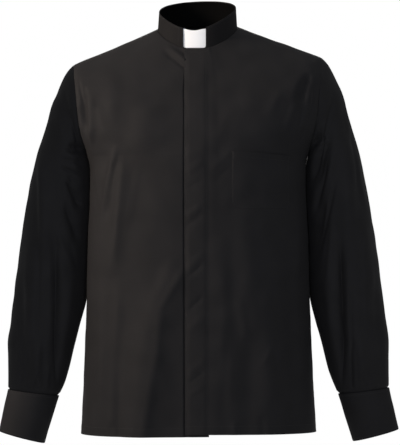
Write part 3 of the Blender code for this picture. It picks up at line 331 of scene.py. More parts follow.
# Lines that stitches press into the cloth.
Groove = namedtuple("Groove", "wide deep")
SEAM_GROOVE = Groove(0.7, 0.3)
HEM_GROOVE = Groove(0.9, 0.35)
POCKET_EDGE_GROOVE = Groove(0.7, 0.12)
POCKET_HEM_GROOVE = Groove(0.8, 0.2)
COLLAR_GROOVE = Groove(0.7, 0.22)
NECKBAND_GROOVE = Groove(0.7, 0.2)
CUFF_GROOVE = Groove(0.8, 0.25)
# How far the rim of a piece bulges past its edge.
RIM, COLLAR_RIM, TAB_RIM, CUFF_RIM, PATCH_RIM = 0.12, 0.15, 0.1, 0.2, 0.25
FINE_CALM, FINE_NECK_CALM = 7.0, 0.12  # the finer folds run closer to the seams

# Finer folds than the solids hold, as seen from the front or the back.
FINE_FRONT_FOLDS = (
    (-207, -84, -196, -178, 4, 1.6), (-200, -96, -190, -186, 3, -1.8), (-196, -120, -184, -214, 5, 1.8),
    (-178, -124, -158, -206, 9, 1.5), (-146, -60, -156, -260, 16, 1.2), (-139, -200, -177, -370, 5, 2.0),
    (-126, -200, -146, -430, 6, 1.5), (-136, -216, -158, -350, 4, -1.2), (-100, -230, -124, -360, 7, 0.7),
    (-138, -410, -152, -830, 10, 2.6), (-76, -400, -121, -860, 22, 2.6), (-36, -395, -86, -520, 14, 2.4),
    (-20, -418, -72, -510, 7, 1.4), (-62, -480, -74, -620, 8, 1.4), (-72, -570, -100, -770, 8, 1.6),
    (19, 250, 16, -1050, 5, -0.45), (46, -600, 54, -860, 14, -1.6), (16, -262, 66, -214, 6, 0.5),
    (22, -282, 60, -246, 5, -0.4), (184, -96, 168, -148, 4, -0.8), (196, -112, 182, -176, 4, 1.5),
    (190, -134, 176, -188, 4, -1.2), (176, -128, 150, -196, 6, 1.0), (150, -110, 120, -170, 9, 0.8),
    (-24, -356, 10, -330, 6, -0.8), (-24, -338, 8, -316, 5, 0.8), (-22, -262, 12, -236, 6, 0.7),
    (-22, -290, 12, -268, 6, -0.6), (-24, -430, 12, -398, 6, 0.8), (-24, -446, 12, -416, 5, -0.8),
    (-20, -504, 12, -470, 5, -0.8), (-22, -540, 12, -508, 7, 0.7), (-20, -632, 14, -604, 5, -0.8),
    (-20, -652, 14, -630, 5, 0.7), (-20, -612, 14, -586, 6, 0.6), (70, -470, 84, -560, 8, 1.0),
    (50, -520, 44, -700, 8, -1.0), (128, -560, 142, -620, 6, -1.2), (108, -600, 132, -560, 5, 0.9),
    (184, -330, 188, -600, 6, -1.0), (172, -260, 180, -420, 6, 0.9), (60, -690, 66, -740, 6, 1.2),
    (110, -680, 112, -740, 6, -1.0), (-150, -690, -152, -740, 5, -1.0),
)
CREASES = (
    (-209, -82, -197, -180, 2.6, -2.6), (-202, -110, -189, -208, 3.0, -2.6),
    (-212, -122, -200, -196, 2.6, 1.8), (-192, -226, -176, -330, 3.5, -0.9),
    (199, -88, 180, -150, 2.6, -1.4), (208, -104, 190, -186, 2.8, -2.4), (196, -150, 178, -214, 3.4, -1.6),
    (212, -130, 198, -200, 2.6, 1.6),
)
# Creases of the right front that run from the collar to the fly's edge.
COLLAR_CREASES = (
    (-59, -29, -3, -76, 2.4, 2.4), (-48, -26, 6, -72, 2.0, -2.0), (-66, -37, -12, -83, 2.4, -2.0),
)
FINE_BACK_FOLDS = (
    (-176, -110, -160, -210, 6, -1.6), (-186, -120, -174, -230, 5, 1.4), (176, -112, 158, -214, 6, -1.6),
    (186, -122, 172, -232, 5, 1.4), (-120, -200, -150, -330, 8, 1.3), (124, -206, 150, -340, 8, 1.3),
    (-40, -150, -54, -260, 9, 1.0), (58, -140, 66, -300, 9, -1.0), (-96, -420, -104, -700, 7, -1.6),
    (-52, -520, -56, -740, 7, 1.5), (14, -440, 20, -640, 8, 1.2), (70, -500, 74, -740, 7, -1.5),
    (120, -560, 126, -740, 7, 1.4), (-150, -600, -154, -740, 6, -1.3), (172, -560, 176, -740, 6, -1.2),
    (-178, -330, -176, -470, 6, 1.0),
)
FINE_RIGHT_SLEEVE_FOLDS = (
    (-198, -180, -207, -400, 9, 2.8), (-250, -360, -251, -670, 3.0, -3.4),
    (-240, -214, -192, -224, 2.8, -3.0), (-244, -246, -204, -262, 3.0, -2.6),
    (-234, -268, -205, -322, 2.8, -2.8), (-238, -312, -208, -378, 2.8, -2.6),
    (-228, -140, -206, -226, 3.0, -2.0), (-280, -360, -284, -600, 4.0, -1.6),
    (-246, -232, -206, -240, 4, -1.8), (-240, -224, -200, -230, 4, 1.6), (-236, -262, -208, -296, 4, 1.6),
    (-244, -300, -212, -366, 4, 1.6), (-232, -318, -206, -372, 3.5, -1.5), (-254, -352, -222, -430, 4, 1.3),
    (-228, -372, -212, -440, 4, -1.2), (-262, -360, -258, -610, 5, 1.6), (-247, -400, -246, -620, 4, -1.8),
    (-276, -200, -272, -420, 6, 1.4), (-284, -240, -284, -400, 5, -1.0), (-300, -380, -304, -540, 6, 1.2),
    (-272, -470, -276, -640, 5, -1.3), (-300, -560, -306, -650, 5, -1.6), (-316, -520, -322, -640, 5, 1.2),
    (-264, -590, -270, -652, 4, 1.6), (-284, -610, -288, -655, 4, -1.6), (-312, -606, -316, -650, 4, -1.4),
    (-236, -96, -226, -176, 5, -1.4), (-250, -110, -240, -200, 6, 1.2),
)
FINE_LEFT_SLEEVE_FOLDS = (
    (198, -180, 206, -380, 9, 2.4), (196, -216, 240, -208, 2.8, -2.2), (240, -130, 200, -292, 2.8, -3.0),
    (236, -220, 200, -352, 3.0, -2.6), (246, -260, 210, -420, 3.0, -2.4), (252, -360, 253, -670, 3.0, -3.4),
    (268, -440, 272, -660, 3.4, -2.0), (226, -150, 208, -226, 3.0, -2.0), (196, -214, 236, -204, 4, 1.6),
    (200, -228, 240, -216, 4, -1.6), (236, -104, 196, -280, 4, 1.8), (244, -120, 206, -300, 3.5, -1.6),
    (232, -160, 202, -330, 4, 1.4), (256, -116, 274, -212, 5, 1.8), (274, -208, 298, -330, 5, 1.8),
    (266, -150, 284, -300, 4, -1.3), (226, -300, 206, -420, 4, -1.5), (238, -330, 226, -470, 4, 1.3),
    (250, -360, 256, -620, 5, -1.6), (262, -400, 268, -600, 5, 1.4), (284, -350, 292, -560, 6, -1.1),
    (304, -400, 314, -600, 6, 1.2), (272, -560, 278, -655, 4, 1.6), (292, -600, 296, -655, 4, -1.6),
    (312, -610, 316, -650, 4, 1.3), (322, -540, 328, -640, 4, -1.2),
)
FINE_SLEEVE_BACK_FOLDS = (
    (214, -226, 250, -206, 5, 1.6), (236, -140, 206, -300, 5, 1.5), (250, -170, 222, -330, 4, -1.3),
    (232, -380, 250, -540, 5, 1.3), (284, -170, 296, -360, 6, 1.4), (276, -420, 284, -640, 6, -1.2),
    (310, -400, 318, -600, 6, 1.3), (274, -600, 276, -655, 4, 1.5), (312, -610, 314, -650, 4, -1.5),
    (330, -560, 332, -650, 4, 1.2),
)

# How each panel is sewn: its side seams, its other seams, and the seed of the puckers along each of its sides
# that rolls under.
Sewing = namedtuple("Sewing", "side_seams seams puckers")
SEWING = {
    "front_left": Sewing(("last_column",), (), {"last_column": 1.3, "last_row": 2.9}),
    "front_right": Sewing(("last_column",), (), {"last_column": 5.1, "last_row": 6.7}),
    "back": Sewing(
        ("first_column", "last_column"),
        ("last_row",),
        {"first_column": 7.7, "last_column": 8.2, "last_row": 9.4},
    ),
    "yoke": Sewing(
        (),
        ("first_column", "last_column", "first_row"),
        {"first_row": 10.3, "first_column": 11.9, "last_column": 12.4, "last_row": 13.2},
    ),
    "sleeve_left": Sewing((), ("first_row",), {"first_row": 14.6}),
    "sleeve_right": Sewing((), ("first_row",), {"first_row": 15.8}),
}

# A record of what a sheet was cut to, in metres, how it is held, and what it rests on.
Cut = namedtuple("Cut", "wide long area held rests_on")

HEM = 15.0  # width of the turned-up hem
HEM_STEP = 0.5  # its inside steps back to the cloth's own this far above it
STITCH = 2.4
STITCH_GAP = 0.7
THREAD = 0.24  # radius
THREAD_SIDES = 5
# Start, middle and end of a stitch: its radius there and its lift off the cloth.
THREAD_RINGS = ((0, THREAD / 2, -0.2), (1, THREAD, 0.1), (2, THREAD / 2, -0.2))
FLY_STITCH = 15.0
FLY_EDGE_STITCH = 2.5
FLY_STITCH_TOP = -57.0
FLY_STITCH_FADE = 3.0  # height over which its groove comes in below that
YOKE_STITCH = 2.0
BACK_SEAM_FROM = 60.0  # y from which the yoke's edge is its back seam and not the armhole
NECK_STITCH = 7.0
NECK_STITCH_TO = 32.0
COLLAR_STITCH = 3.0
CUFF_STITCH = 4.5
WINDOW_STITCHES = (-36.9, -35.1)  # x of the lines beside the tab's window
WINDOW_STITCH_TOP, WINDOW_MARGIN = 1.5, 2.0
NECK_LINE_Z = -35.0
SEAM_GAP = 0.03
THREAD_PITCH = 0.0006  # of the weave, in metres
CUFF_RUMPLE, CUFF_RUMPLE_SIZE = 0.5, 26.0
CUFF_SEED = 3.1

# Sleeve placket: its rows by the sleeve's stations, and its turn round the sleeve.
PLACKET_FROM, PLACKET_TO = 11.5, 15.7
PLACKET_TURN = (16 / 21, 17 / 21)
PLACKET_ROWS, PLACKET_COLUMNS = 90, 24
PLACKET_FACE, PLACKET_EDGE_DROP, PLACKET_EDGE_WIDE = 0.9, 0.4, 0.7
PATCH_INNER = 0.12  # how far the inside of a patch stands off the cloth under it
EDGE_ROWS = len(EDGE_LOOPS)  # rows that the edge adds before the sleeve's second row

# Pocket, along the cloth of the left front: its corner, how much its mouth droops, and how far that gapes.
POCKET_INNER = 60.0
POCKET_OUTER = 170.0
POCKET_FOOT_Z = -321.0
POCKET_MOUTH_INNER = -221.5
POCKET_MOUTH_OUTER = -229.5
POCKET_CORNER = 11.0
POCKET_STITCH = 1.6
POCKET_HEM = 9.0
MOUTH_GAPE, MOUTH_GAPE_TALL, MOUTH_GAPE_FULL = 2.0, 12.0, 0.7  # the last is fuller the smaller it is
POCKET_ROWS, POCKET_COLUMNS = 80, 90
POCKET_FACE, POCKET_EDGE_DROP, POCKET_EDGE_WIDE = 0.58, 0.22, 2.4
POCKET_SEEDS = {"first_row": 21.3, "first_column": 22.9, "last_column": 24.1}
# Columns of the left front once its edges have their extra lines.
FRONT_REFERENCES = (
    *LEFT_COLUMNS[:1], -23.0, -22.4, -21.9, *LEFT_COLUMNS[1:-1], 260.0, 261.0, 261.6, *LEFT_COLUMNS[-1:]
)

COLLAR_COLUMNS, COLLAR_ROWS = 420, 26
NECKBAND_COLUMNS, NECKBAND_ROWS = 380, 22
TAB_COLUMNS, TAB_ROWS = 91, 30
TAB_LOW = -0.06
TAB_TOP, TAB_TOP_SIDES = 0.97, 0.93
TAB_DROP_FROM, TAB_DROP_OVER = 12.0, 14.0  # angles over which the tab's top drops to that of its sides

LENS, SENSOR, CAMERA_FAR = 250.0, 36.0, 5.5
AIM = Vector((0.0018, 0, -0.346))
Look = namedtuple("Look", "colour roughness sheen specular")
CLOTH_LOOKS = {
    "shirt_cloth": Look((0.0099, 0.0096, 0.0102), 0.74, 0.012, 0.14),
    "collar_cloth": Look((0.0072, 0.0069, 0.0072), 0.78, 0.01, 0.10),
    # The neckband's near-black colour and dull shine are painted shade: it is the same black cloth, made
    # darker so that the inside of the collar looks shaded.
    "neckband_cloth": Look((0.0015, 0.0015, 0.0015), 0.85, 0.0, 0.03),
}
PlainLook = namedtuple("PlainLook", "colour roughness grain")
PLAIN_LOOKS = {
    "tab_white": PlainLook((0.80, 0.82, 0.83), 0.42, 60.0),
    "thread": PlainLook((0.011, 0.0105, 0.0105), 0.5, 300.0),
    "button_black": PlainLook((0.02, 0.02, 0.022), 0.3, 120.0),
}
FLOOR_LOOK = PlainLook((0.9, 0.9, 0.9), 0.8, 3.0)
GRAIN_SHINE = 0.06  # how far the grain of plastic and thread changes its roughness
WORLD_LIGHT = 0.28
Lamp = namedtuple("Lamp", "name place aim size watts colour spread")
LAMPS = (
    Lamp("key", (-2.75, -1.05, 0.65), (-0.05, 0, -0.12), 0.8, 8.6, (1.0, 0.85, 0.73), 46.0),
    Lamp("fill", (0.3, -3.6, 0.9), (0, 0, -0.1), 2.4, 18.0, (0.90, 0.94, 1.06), 110.0),
    Lamp("top", (0, 0.4, 2.4), (0, 0, -0.3), 1.6, 8.0, (1, 1, 1), 180.0),
    Lamp("rear", (0.1, 3.4, 0.7), (0, 0, -0.38), 1.2, 14.0, (1.0, 0.96, 0.92), 110.0),
)
FLOOR_Z, FLOOR_RADIUS = -0.9, 1.5


def smooth(xs, ys, at):
    """A curve through the points of a table that never overshoots them."""
    xs = np.asarray(xs, float)
    ys = np.asarray(ys, float)
    at = np.clip(at, xs[0], xs[-1])
    steps = np.diff(xs)
    slopes = np.diff(ys) / steps
    tangents = np.zeros_like(ys)
    same_way = slopes[1:] * slopes[:-1] > 0
    first = 2 * steps[1:] + steps[:-1]
    second = steps[1:] + 2 * steps[:-1]
    with np.errstate(divide="ignore", invalid="ignore"):
        mean = (first + second) / (first / slopes[:-1] + second / slopes[1:])
    tangents[1:-1] = np.where(same_way, mean, 0)
    tangents[0] = slopes[0]
    tangents[-1] = slopes[-1]
    i = np.clip(np.searchsorted(xs, at, side="right") - 1, 0, len(steps) - 1)
    t = (at - xs[i]) / steps[i]
    rise = ys[i] * (2 * t**3 - 3 * t**2 + 1) + ys[i + 1] * (3 * t**2 - 2 * t**3)
    turn = tangents[i] * (t**3 - 2 * t**2 + t) + tangents[i + 1] * (t**3 - t**2)
    return rise + steps[i] * turn


def column(table, name, at, by=None):
    """One named column of a table, read between its rows: by another column, or by place from 0 to 1."""
    ys = [getattr(row, name) for row in table]
    xs = np.linspace(0, 1, len(table)) if by is None else [getattr(row, by) for row in table]
    return smooth(xs, ys, at)


def points_along(table, at):
    return np.stack([column(table, axis, at) for axis in "xyz"], axis=-1)


def ease(t):
    t = np.clip(t, 0, 1)
    return t * t * (3 - 2 * t)


def run_lengths(points):
    """How far along its line each point lies. Lines run down the first axis."""
    steps = np.linalg.norm(np.diff(points, axis=0), axis=-1)
    return np.concatenate([np.zeros_like(steps[:1]), np.cumsum(steps, axis=0)])


def read_along(at, places, points):
    """Points read at new places along a line whose own points lie at the given places."""
    return np.stack([np.interp(at, places, points[:, k]) for k in range(3)], axis=-1)


def resample(curve, distances):
    """Points of a dense curve at distances along it, as fractions of its length."""
    lengths = run_lengths(curve)
    return read_along(np.asarray(distances) * lengths[-1], lengths, curve)


def length_of(curve):
    return np.linalg.norm(np.diff(curve, axis=0), axis=1).sum()


def neck_heights(angle):
    """Heights of the collar's base and of its top, at an angle in degrees."""
    from_front = np.abs((np.asarray(angle, float) + 180) % 360 - 180)
    from_lowest = np.abs((np.asarray(angle, float) - TOP_TURN + 180) % 360 - 180)
    return column(NECK, "base", from_front, by="angle"), column(NECK, "top", from_lowest, by="angle")


def neck_point(angle, height=0.0, out=0.0):
    """A point on the outer face of the collar: angle in degrees, height from its base (0) to its top (1)."""
    turn = np.radians(angle)
    base, top = neck_heights(angle)
    taper = NECK_TAPER * np.clip(height, 0, 1)
    x = (NECK_WIDE - taper + out) * np.sin(turn)
    y = NECK_MIDDLE_Y - (NECK_DEEP - taper + out) * np.cos(turn)
    return np.stack([x, y, base + (top - base) * height], axis=-1)


def shoulder_seam(at):
    """The front shoulder seam, from the shoulder tip (0) to the neckline (1)."""
    return yoke_line(0.0, 1 - np.asarray(at))


def yoke_edge(place):
    """A point on the outer edge of the yoke's left half, which is the armhole and then the back seam, and the
    neck angle that belongs to it."""
    split = TIP_COLUMNS / (TIP_COLUMNS + BACK_HALF_COLUMNS)
    if place <= split:
        t = place / split
        return points_along(SHOULDER_TIP, t), SEAM_ANGLE + (YOKE_CORNER_ANGLE - SEAM_ANGLE) * t
    t = (place - split) / (1 - split)
    return resample(back_row(2.0)[::-1], t), YOKE_CORNER_ANGLE + (180 - YOKE_CORNER_ANGLE) * t


def yoke_line(place, at):
    """A line of the yoke's left half, from the neckline (0) to its outer edge (1)."""
    end, angle = yoke_edge(place)
    start = neck_point(angle, 0.0, NECKLINE_CLEAR)
    run = end - start
    bow = Bow(place, *(column(YOKE_BOW, name, place, by="at") for name in Bow._fields[1:]))
    first = start + YOKE_NEAR * run + np.array([0, bow.back, bow.up])
    slanted = start + YOKE_FAR * run + np.array([0, 0, bow.rise * YOKE_SLANT])
    upright = end + np.array([0, 0, bow.rise])
    second = slanted + (upright - slanted) * bow.square
    t = np.asarray(at, float)[..., None]
    near = (1 - t) ** 3 * start + 3 * t * (1 - t) ** 2 * first
    return near + 3 * t**2 * (1 - t) * second + t**3 * end


def swept_row(edge, middle_y, middle_z, rounding):
    """A dense half row of the body, from its middle to its outer edge."""
    x = np.sin(np.linspace(0, pi / 2, DENSE)) ** (2 / ROW_FLAT)
    away = (1 - x**ROW_FLAT) ** (1 / rounding)
    lift = x**ROW_LIFT
    y = edge[1] + (middle_y - edge[1]) * away
    z = middle_z + (edge[2] - middle_z) * lift
    return np.stack([edge[0] * x, y, z], axis=-1)


def body_row(z, side):
    """A level half row below the underarm. Side is front or back."""
    half = column(BODY, "half", z, by="z")
    depth = column(BODY, side, z, by="z")
    return swept_row((half, 0, z), depth if side == "back" else -depth, z, SIDE_ROUND)


def body_level(level, side):
    return body_row(BODY[0].z + (BODY[-1].z - BODY[0].z) * level, side)


def armhole_row(table, at):
    middle = (column(table, name, at) for name in ("middle_y", "middle_z", "round"))
    return swept_row(points_along(table, at), *middle)


def chest_row(at):
    """A half row above the shoulder tip: a patch between that row, the neckline, the middle and the seam."""
    u = np.linspace(0, 1, DENSE)[:, None]
    low = resample(armhole_row(FRONT_ARMHOLE, 1.0), u[:, 0])
    high = resample(neck_point(np.linspace(0, SEAM_ANGLE, DENSE), 0.0, NECKLINE_CLEAR), u[:, 0])
    middle = points_along(CENTRE_FRONT, at) + at * (high[0] - points_along(CENTRE_FRONT, 1.0))
    outer = shoulder_seam(at)
    corners = (1 - u) * ((1 - at) * low[0] + at * high[0]) + u * ((1 - at) * low[-1] + at * high[-1])
    return (1 - at) * low + at * high + (1 - u) * middle + u * outer - corners


def front_row(level):
    """A dense half row of the front, by level: 0 hem, 1 underarm, 2 shoulder tip, 3 neckline."""
    if level <= 1:
        return body_level(level, "front")
    if level <= 2:
        return armhole_row(FRONT_ARMHOLE, level - 1)
    return chest_row(level - 2)


def back_row(level):
    """The same for the back, whose level 2 is the yoke seam."""
    return body_level(level, "back") if level <= 1 else armhole_row(BACK_ARMHOLE, level - 1)


def column_distance(reference, length):
    """Where a column lies on a row of this length. The fly's columns keep their distance from the middle."""
    if -FLY_EDGE <= reference <= FLY_LAST:
        return reference
    return FLY_LAST + (reference - FLY_LAST) * (length - FLY_LAST) / (REFERENCE - FLY_LAST)


def fold_depth(folds, x, z):
    """How far the folds move the cloth out at this place."""
    total = np.zeros_like(x)
    for x0, z0, x1, z1, wide, deep in folds:
        run = np.array([x1 - x0, z1 - z0], float)
        length = np.hypot(*run)
        run /= length
        along = ((x - x0) * run[0] + (z - z0) * run[1]) / length
        across = (x - x0) * run[1] - (z - z0) * run[0]
        ends = ease(along / FOLD_END) * ease((1 - along) / FOLD_END)
        total += FOLD_STRENGTH * deep * ends * np.exp(-((across / wide) ** 2))
    return total


def own_normals(grid, around=False):
    """Unit normals of a grid of points, from its neighbours in each direction."""
    across = np.gradient(grid, axis=1)
    if around:
        across = np.roll(grid, -1, axis=1) - np.roll(grid, 1, axis=1)
    along = np.gradient(grid, axis=0)
    normal = np.cross(across, along)
    return normal / np.linalg.norm(normal, axis=-1, keepdims=True)


def faced_out(grid, middle, around=False):
    """Normals that point away from a middle point or line."""
    normal = own_normals(grid, around)
    return normal if (normal * (grid - middle)).sum() > 0 else -normal


def moved(grid, normals, distance):
    return grid + normals * np.asarray(distance)[..., None]


def lean(points):
    """The slight lean of the whole shirt, and the higher shoulder and hem on the wearer's left."""
    out = points.copy()
    above_waist = np.clip(1 + (points[..., 2] - LEAN_TOP) / LEAN_TALL, -1, 1)
    out[..., 0] -= LEAN_FOOT + LEAN_SIDE * above_waist
    out[..., 2] += SHOULDER_SLOPE * points[..., 0] * ease((points[..., 2] - SLOPE_FROM) / SLOPE_OVER)
    middle = np.clip(points[..., 0], -BODY[0].half, BODY[0].half)
    out[..., 2] += HEM_SLOPE * middle * ease((HEM_FROM - points[..., 2]) / HEM_OVER)
    return out


def half_front(references, side, folds):
    """A front as a grid of points from the middle to its outer edge. Side is 1 for the wearer's left."""
    rows = []
    fades = []
    fine_fades = []
    for level in front_levels():
        half = front_row(level)
        length = length_of(half)
        distances = np.array([column_distance(r, length) for r in references])
        row = resample(half, np.abs(distances) / length)
        row[:, 0] *= np.where(distances < 0, -1, 1)
        rows.append(row)
        near_neck = ease((length - NECK_CALM_FROM) / NECK_CALM_OVER)
        fades.append(ease((length - distances) / SEAM_CALM) * near_neck)
        fine_fades.append(ease((length - distances) / FINE_CALM) * ease((3 - level) / FINE_NECK_CALM))
    grid = np.array(rows)
    grid[..., 0] *= side
    normals = faced_out(grid, BODY_MIDDLE)
    depth = fold_depth(folds, grid[..., 0], grid[..., 2]) * np.array(fades)
    creases = FINE_FRONT_FOLDS + CREASES + (COLLAR_CREASES if side < 0 else ())
    fine = fold_depth(creases, grid[..., 0], grid[..., 2]) * np.array(fine_fades)
    return moved(grid, normals, depth + fine)


def front_left_grid():
    grid = half_front(LEFT_COLUMNS, 1, FRONT_FOLDS)
    high = np.interp(LEFT_COLUMNS, [row.at for row in FLY_RISE], [row.high for row in FLY_RISE])
    low = np.minimum(high, FLY_RISE[0].high)
    below_neck = ease((FLY_RISE_FROM - grid[:, :1, 2]) / FLY_RISE_OVER)
    grid = moved(grid, faced_out(grid, BODY_MIDDLE), low + (high - low) * below_neck)
    from_side = 1 - np.clip(np.array(LEFT_COLUMNS) / REFERENCE, 0, 1)
    grid[..., 2] += HEM_LIFT * from_side * ease((HEM_FROM - grid[..., 2]) / HEM_OVER)
    return grid


def back_grid():
    places = np.linspace(0, 1, BACK_HALF_COLUMNS + 1)
    rows = []
    fades = []
    for level in back_levels():
        half = back_row(level)
        left = resample(half[::-1], places)
        right = left[-2::-1] * np.array([-1, 1, 1])
        rows.append(np.concatenate([left, right]))
        length = length_of(half)
        fade = ease(places * length / SEAM_CALM) * ease((2 - level) / YOKE_CALM)
        fades.append(np.concatenate([fade, fade[-2::-1]]))
    grid = np.array(rows)
    depth = fold_depth(BACK_FOLDS + FINE_BACK_FOLDS, grid[..., 0], grid[..., 2])
    return moved(grid, faced_out(grid, BODY_MIDDLE), depth * np.array(fades))


def yoke_grid():
    """Columns from the left front seam over the back to the right one, rows from the outer edge inwards."""
    count = TIP_COLUMNS + BACK_HALF_COLUMNS
    at = 1 - np.linspace(0, 1, NECK_ROWS + 1)
    left = np.stack([yoke_line(k / count, at) for k in range(count + 1)], axis=1)
    right = left[:, -2::-1] * np.array([-1, 1, 1])
    place = np.minimum(np.arange(2 * count + 1), np.arange(2 * count, -1, -1)) / count
    share = 0.5 * ease((place - YOKE_EVEN_FROM) / YOKE_EVEN_OVER)
    return evened(np.concatenate([left, right], axis=1), share, YOKE_SMOOTHING)


def evened(grid, share, times):
    """Evens out a grid's inner points along its rows, each column by its own share, and keeps the edges."""
    grid = grid.copy()
    for _ in range(times):
        between = (grid[1:-1, :-2] + grid[1:-1, 2:]) / 2
        grid[1:-1, 1:-1] += (between - grid[1:-1, 1:-1]) * share[1:-1, None]
    return grid


def armhole_loop():
    """The left armhole, from the underarm up the front, over the tip and down the back."""
    front = points_along(FRONT_ARMHOLE, np.linspace(0, 1, ARMHOLE_ROWS + 1))
    tip = points_along(SHOULDER_TIP, np.linspace(0, 1, TIP_COLUMNS + 1))[1:]
    back = points_along(BACK_ARMHOLE, np.linspace(1, 0, BACK_ARMHOLE_ROWS + 1))[1:-1]
    return np.concatenate([front, tip, back])


def station_at(at):
    return Station(*(column(SLEEVE, name, at) for name in Station._fields))


def between(first, second, share):
    """A station of the sleeve between two others."""
    return Station(*(a + (b - a) * share for a, b in zip(first, second)))


def station_axis(station):
    """The two ends of a station's line, from the inner side to the outer one."""
    return (
        np.array([station.inner_x, 0, station.inner_z], float),
        np.array([station.outer_x, 0, station.outer_z], float),
    )


def station_ring(station, angles, shrink=0.0):
    """A ring round the sleeve. Angle 0 is its outer side, 90 its front and 180 its inner side."""
    inner, outer = station_axis(station)
    half = np.linalg.norm(outer - inner) / 2
    centre = (outer + inner) / 2 + np.array([0, station.middle_y, 0])
    towards = (outer - inner) / (2 * half)
    reach = (half - shrink) * np.cos(angles)[:, None] * towards
    return centre + reach + (station.half_deep - shrink) * np.sin(angles)[:, None] * FORWARDS


def ring_outwards(station, angles):
    """Unit vectors that point out of a ring of the sleeve."""
    inner, outer = station_axis(station)
    half = np.linalg.norm(outer - inner) / 2
    out = np.cos(angles)[:, None] / half * (outer - inner) / (2 * half)
    out = out + np.sin(angles)[:, None] / station.half_deep * FORWARDS
    return out / np.linalg.norm(out, axis=1, keepdims=True)


@lru_cache(maxsize=None)
def body_side(z, side):
    """The body's outline at a height: distances from the middle in order, and the widths there."""
    row = body_row(z, side)
    order = np.argsort(np.abs(row[:, 1]))
    return np.abs(row[order, 1]), row[order, 0]


def clear_of_body(ring, row):
    """Keeps a ring of the left sleeve off the body's side, so that it lies along it and a little behind."""
    near_body = ease((INNER_FROM - ring[:, 0]) / INNER_OVER)
    near_body *= ease(row / INNER_ROWS_IN) * ease((INNER_ROW_LAST - row) / INNER_ROWS_OUT)
    out = ring + near_body[:, None] * (0, INNER_BACK, 0)
    for k, (x, y, z) in enumerate(out):
        if z > BODY[-1].z:
            continue
        depths, widths = body_side(round(max(z, BODY[0].z)), "back" if y > 0 else "front")
        limit = np.interp(abs(y), depths, widths) + SLEEVE_OFF_BODY
        if x < limit:
            out[k, 0] = x + (limit - x) * ease((BODY[-1].z - z) / UNDERARM_OVER)
    return out


def armhole_angles(loop, first):
    """Where the armhole's points lie round the sleeve's first station."""
    inner, outer = station_axis(first)
    away = loop - (inner + outer) / 2 - np.array([0, first.middle_y, 0])
    long_way = outer - inner
    angles = np.arctan2(-away[:, 1] / first.half_deep, away @ long_way / (long_way @ long_way / 2))
    angles[0] = pi
    return np.unwrap(angles)


def sleeve_rings():
    """The left sleeve's rings, from the armhole to inside the cuff, and the angles round the last of them."""
    loop = armhole_loop()
    start = armhole_angles(loop, station_at(0.0))
    apart = loop - station_ring(station_at(0.0), start)
    even = pi - 2 * pi * np.arange(len(loop)) / len(loop)
    rings = []
    for row in SLEEVE_ROWS:
        hold = (1 - min(row / ARMHOLE_HOLD, 1)) ** 2
        ring = station_ring(station_at(row / SLEEVE_LAST), even + (start - even) * hold)
        rings.append(clear_of_body(ring + hold * apart, row))
    cuff_top = station_at(1.0)
    for station in (cuff_top, between(cuff_top, CUFF_FOOT, SLEEVE_FOOT)):
        rings.append(station_ring(station, even, SLEEVE_TUCK))
    return np.array(rings), even


def sleeve_grid(side, folds, fine_folds):
    """A sleeve as rings of points. Side is 1 for the wearer's left. Folds are those of its front and back."""
    rings, angles = sleeve_rings()
    grid = rings * (side, 1, 1)
    rows = np.array(SLEEVE_ROWS + (SLEEVE_LAST, SLEEVE_LAST))[:, None]
    facing = np.sin(angles)
    depth = 0
    for table, calm in ((folds, SLEEVE_CALM), (fine_folds, FINE_SLEEVE_CALM)):
        fade = ease(rows / calm.start) * ease((SLEEVE_LAST - calm.end - rows) / calm.over)
        for half, way in zip(table, (facing, -facing)):
            depth = depth + fold_depth(half, grid[..., 0], grid[..., 2]) * fade * ease(way / FOLD_TURN)
    outer_side = 1 - ease((-np.cos(angles) - INNER_SIDE_FROM) / INNER_SIDE_OVER)
    normals = faced_out(grid, grid.mean(axis=1, keepdims=True), around=True)
    return moved(grid, normals, depth * (INNER_SIDE_FOLDS + (1 - INNER_SIDE_FOLDS) * outer_side))


def mirrored_folds(folds):
    return tuple((-x0, z0, -x1, z1, wide, deep) for x0, z0, x1, z1, wide, deep in folds)


def shared_normals(panels):
    """Normals of all panels, the same for every panel that meets at a seam point.

    Where the cloth folds back on itself there, as at the underarm, each panel keeps its own normal instead,
    and the second result says how far it does so, from 0 to 1.
    """
    totals = {}
    for grid, normals in panels:
        for key, normal in zip(np.round(grid.reshape(-1, 3), 2).tolist(), normals.reshape(-1, 3)):
            totals.setdefault(tuple(key), []).append(normal)
    result = []
    for grid, normals in panels:
        keys = np.round(grid.reshape(-1, 3), 2).tolist()
        mean = np.array([np.sum(totals[tuple(key)], axis=0) for key in keys]).reshape(grid.shape)
        mean /= np.linalg.norm(mean, axis=-1, keepdims=True)
        folded = ease((FOLDED_FROM - (mean * normals).sum(axis=-1)) / FOLDED_OVER)
        mixed = mean * (1 - folded[..., None]) + normals * folded[..., None]
        result.append((mixed / np.linalg.norm(mixed, axis=-1, keepdims=True), folded))
    return result


def border(rows, columns, around):
    """The edges of a grid as closed walks of (row, column), with the side that each step runs along."""
    if around:
        first = [((0, c), "first_row") for c in range(columns)]
        last = [((rows - 1, c), "last_row") for c in range(columns)]
        return [first, last]
    walk = [((0, c), "first_row") for c in range(columns - 1)]
    walk += [((r, columns - 1), "last_column") for r in range(rows - 1)]
    walk += [((rows - 1, c), "last_row") for c in range(columns - 1, 0, -1)]
    walk += [((r, 0), "first_column") for r in range(rows - 1, 0, -1)]
    return [walk]


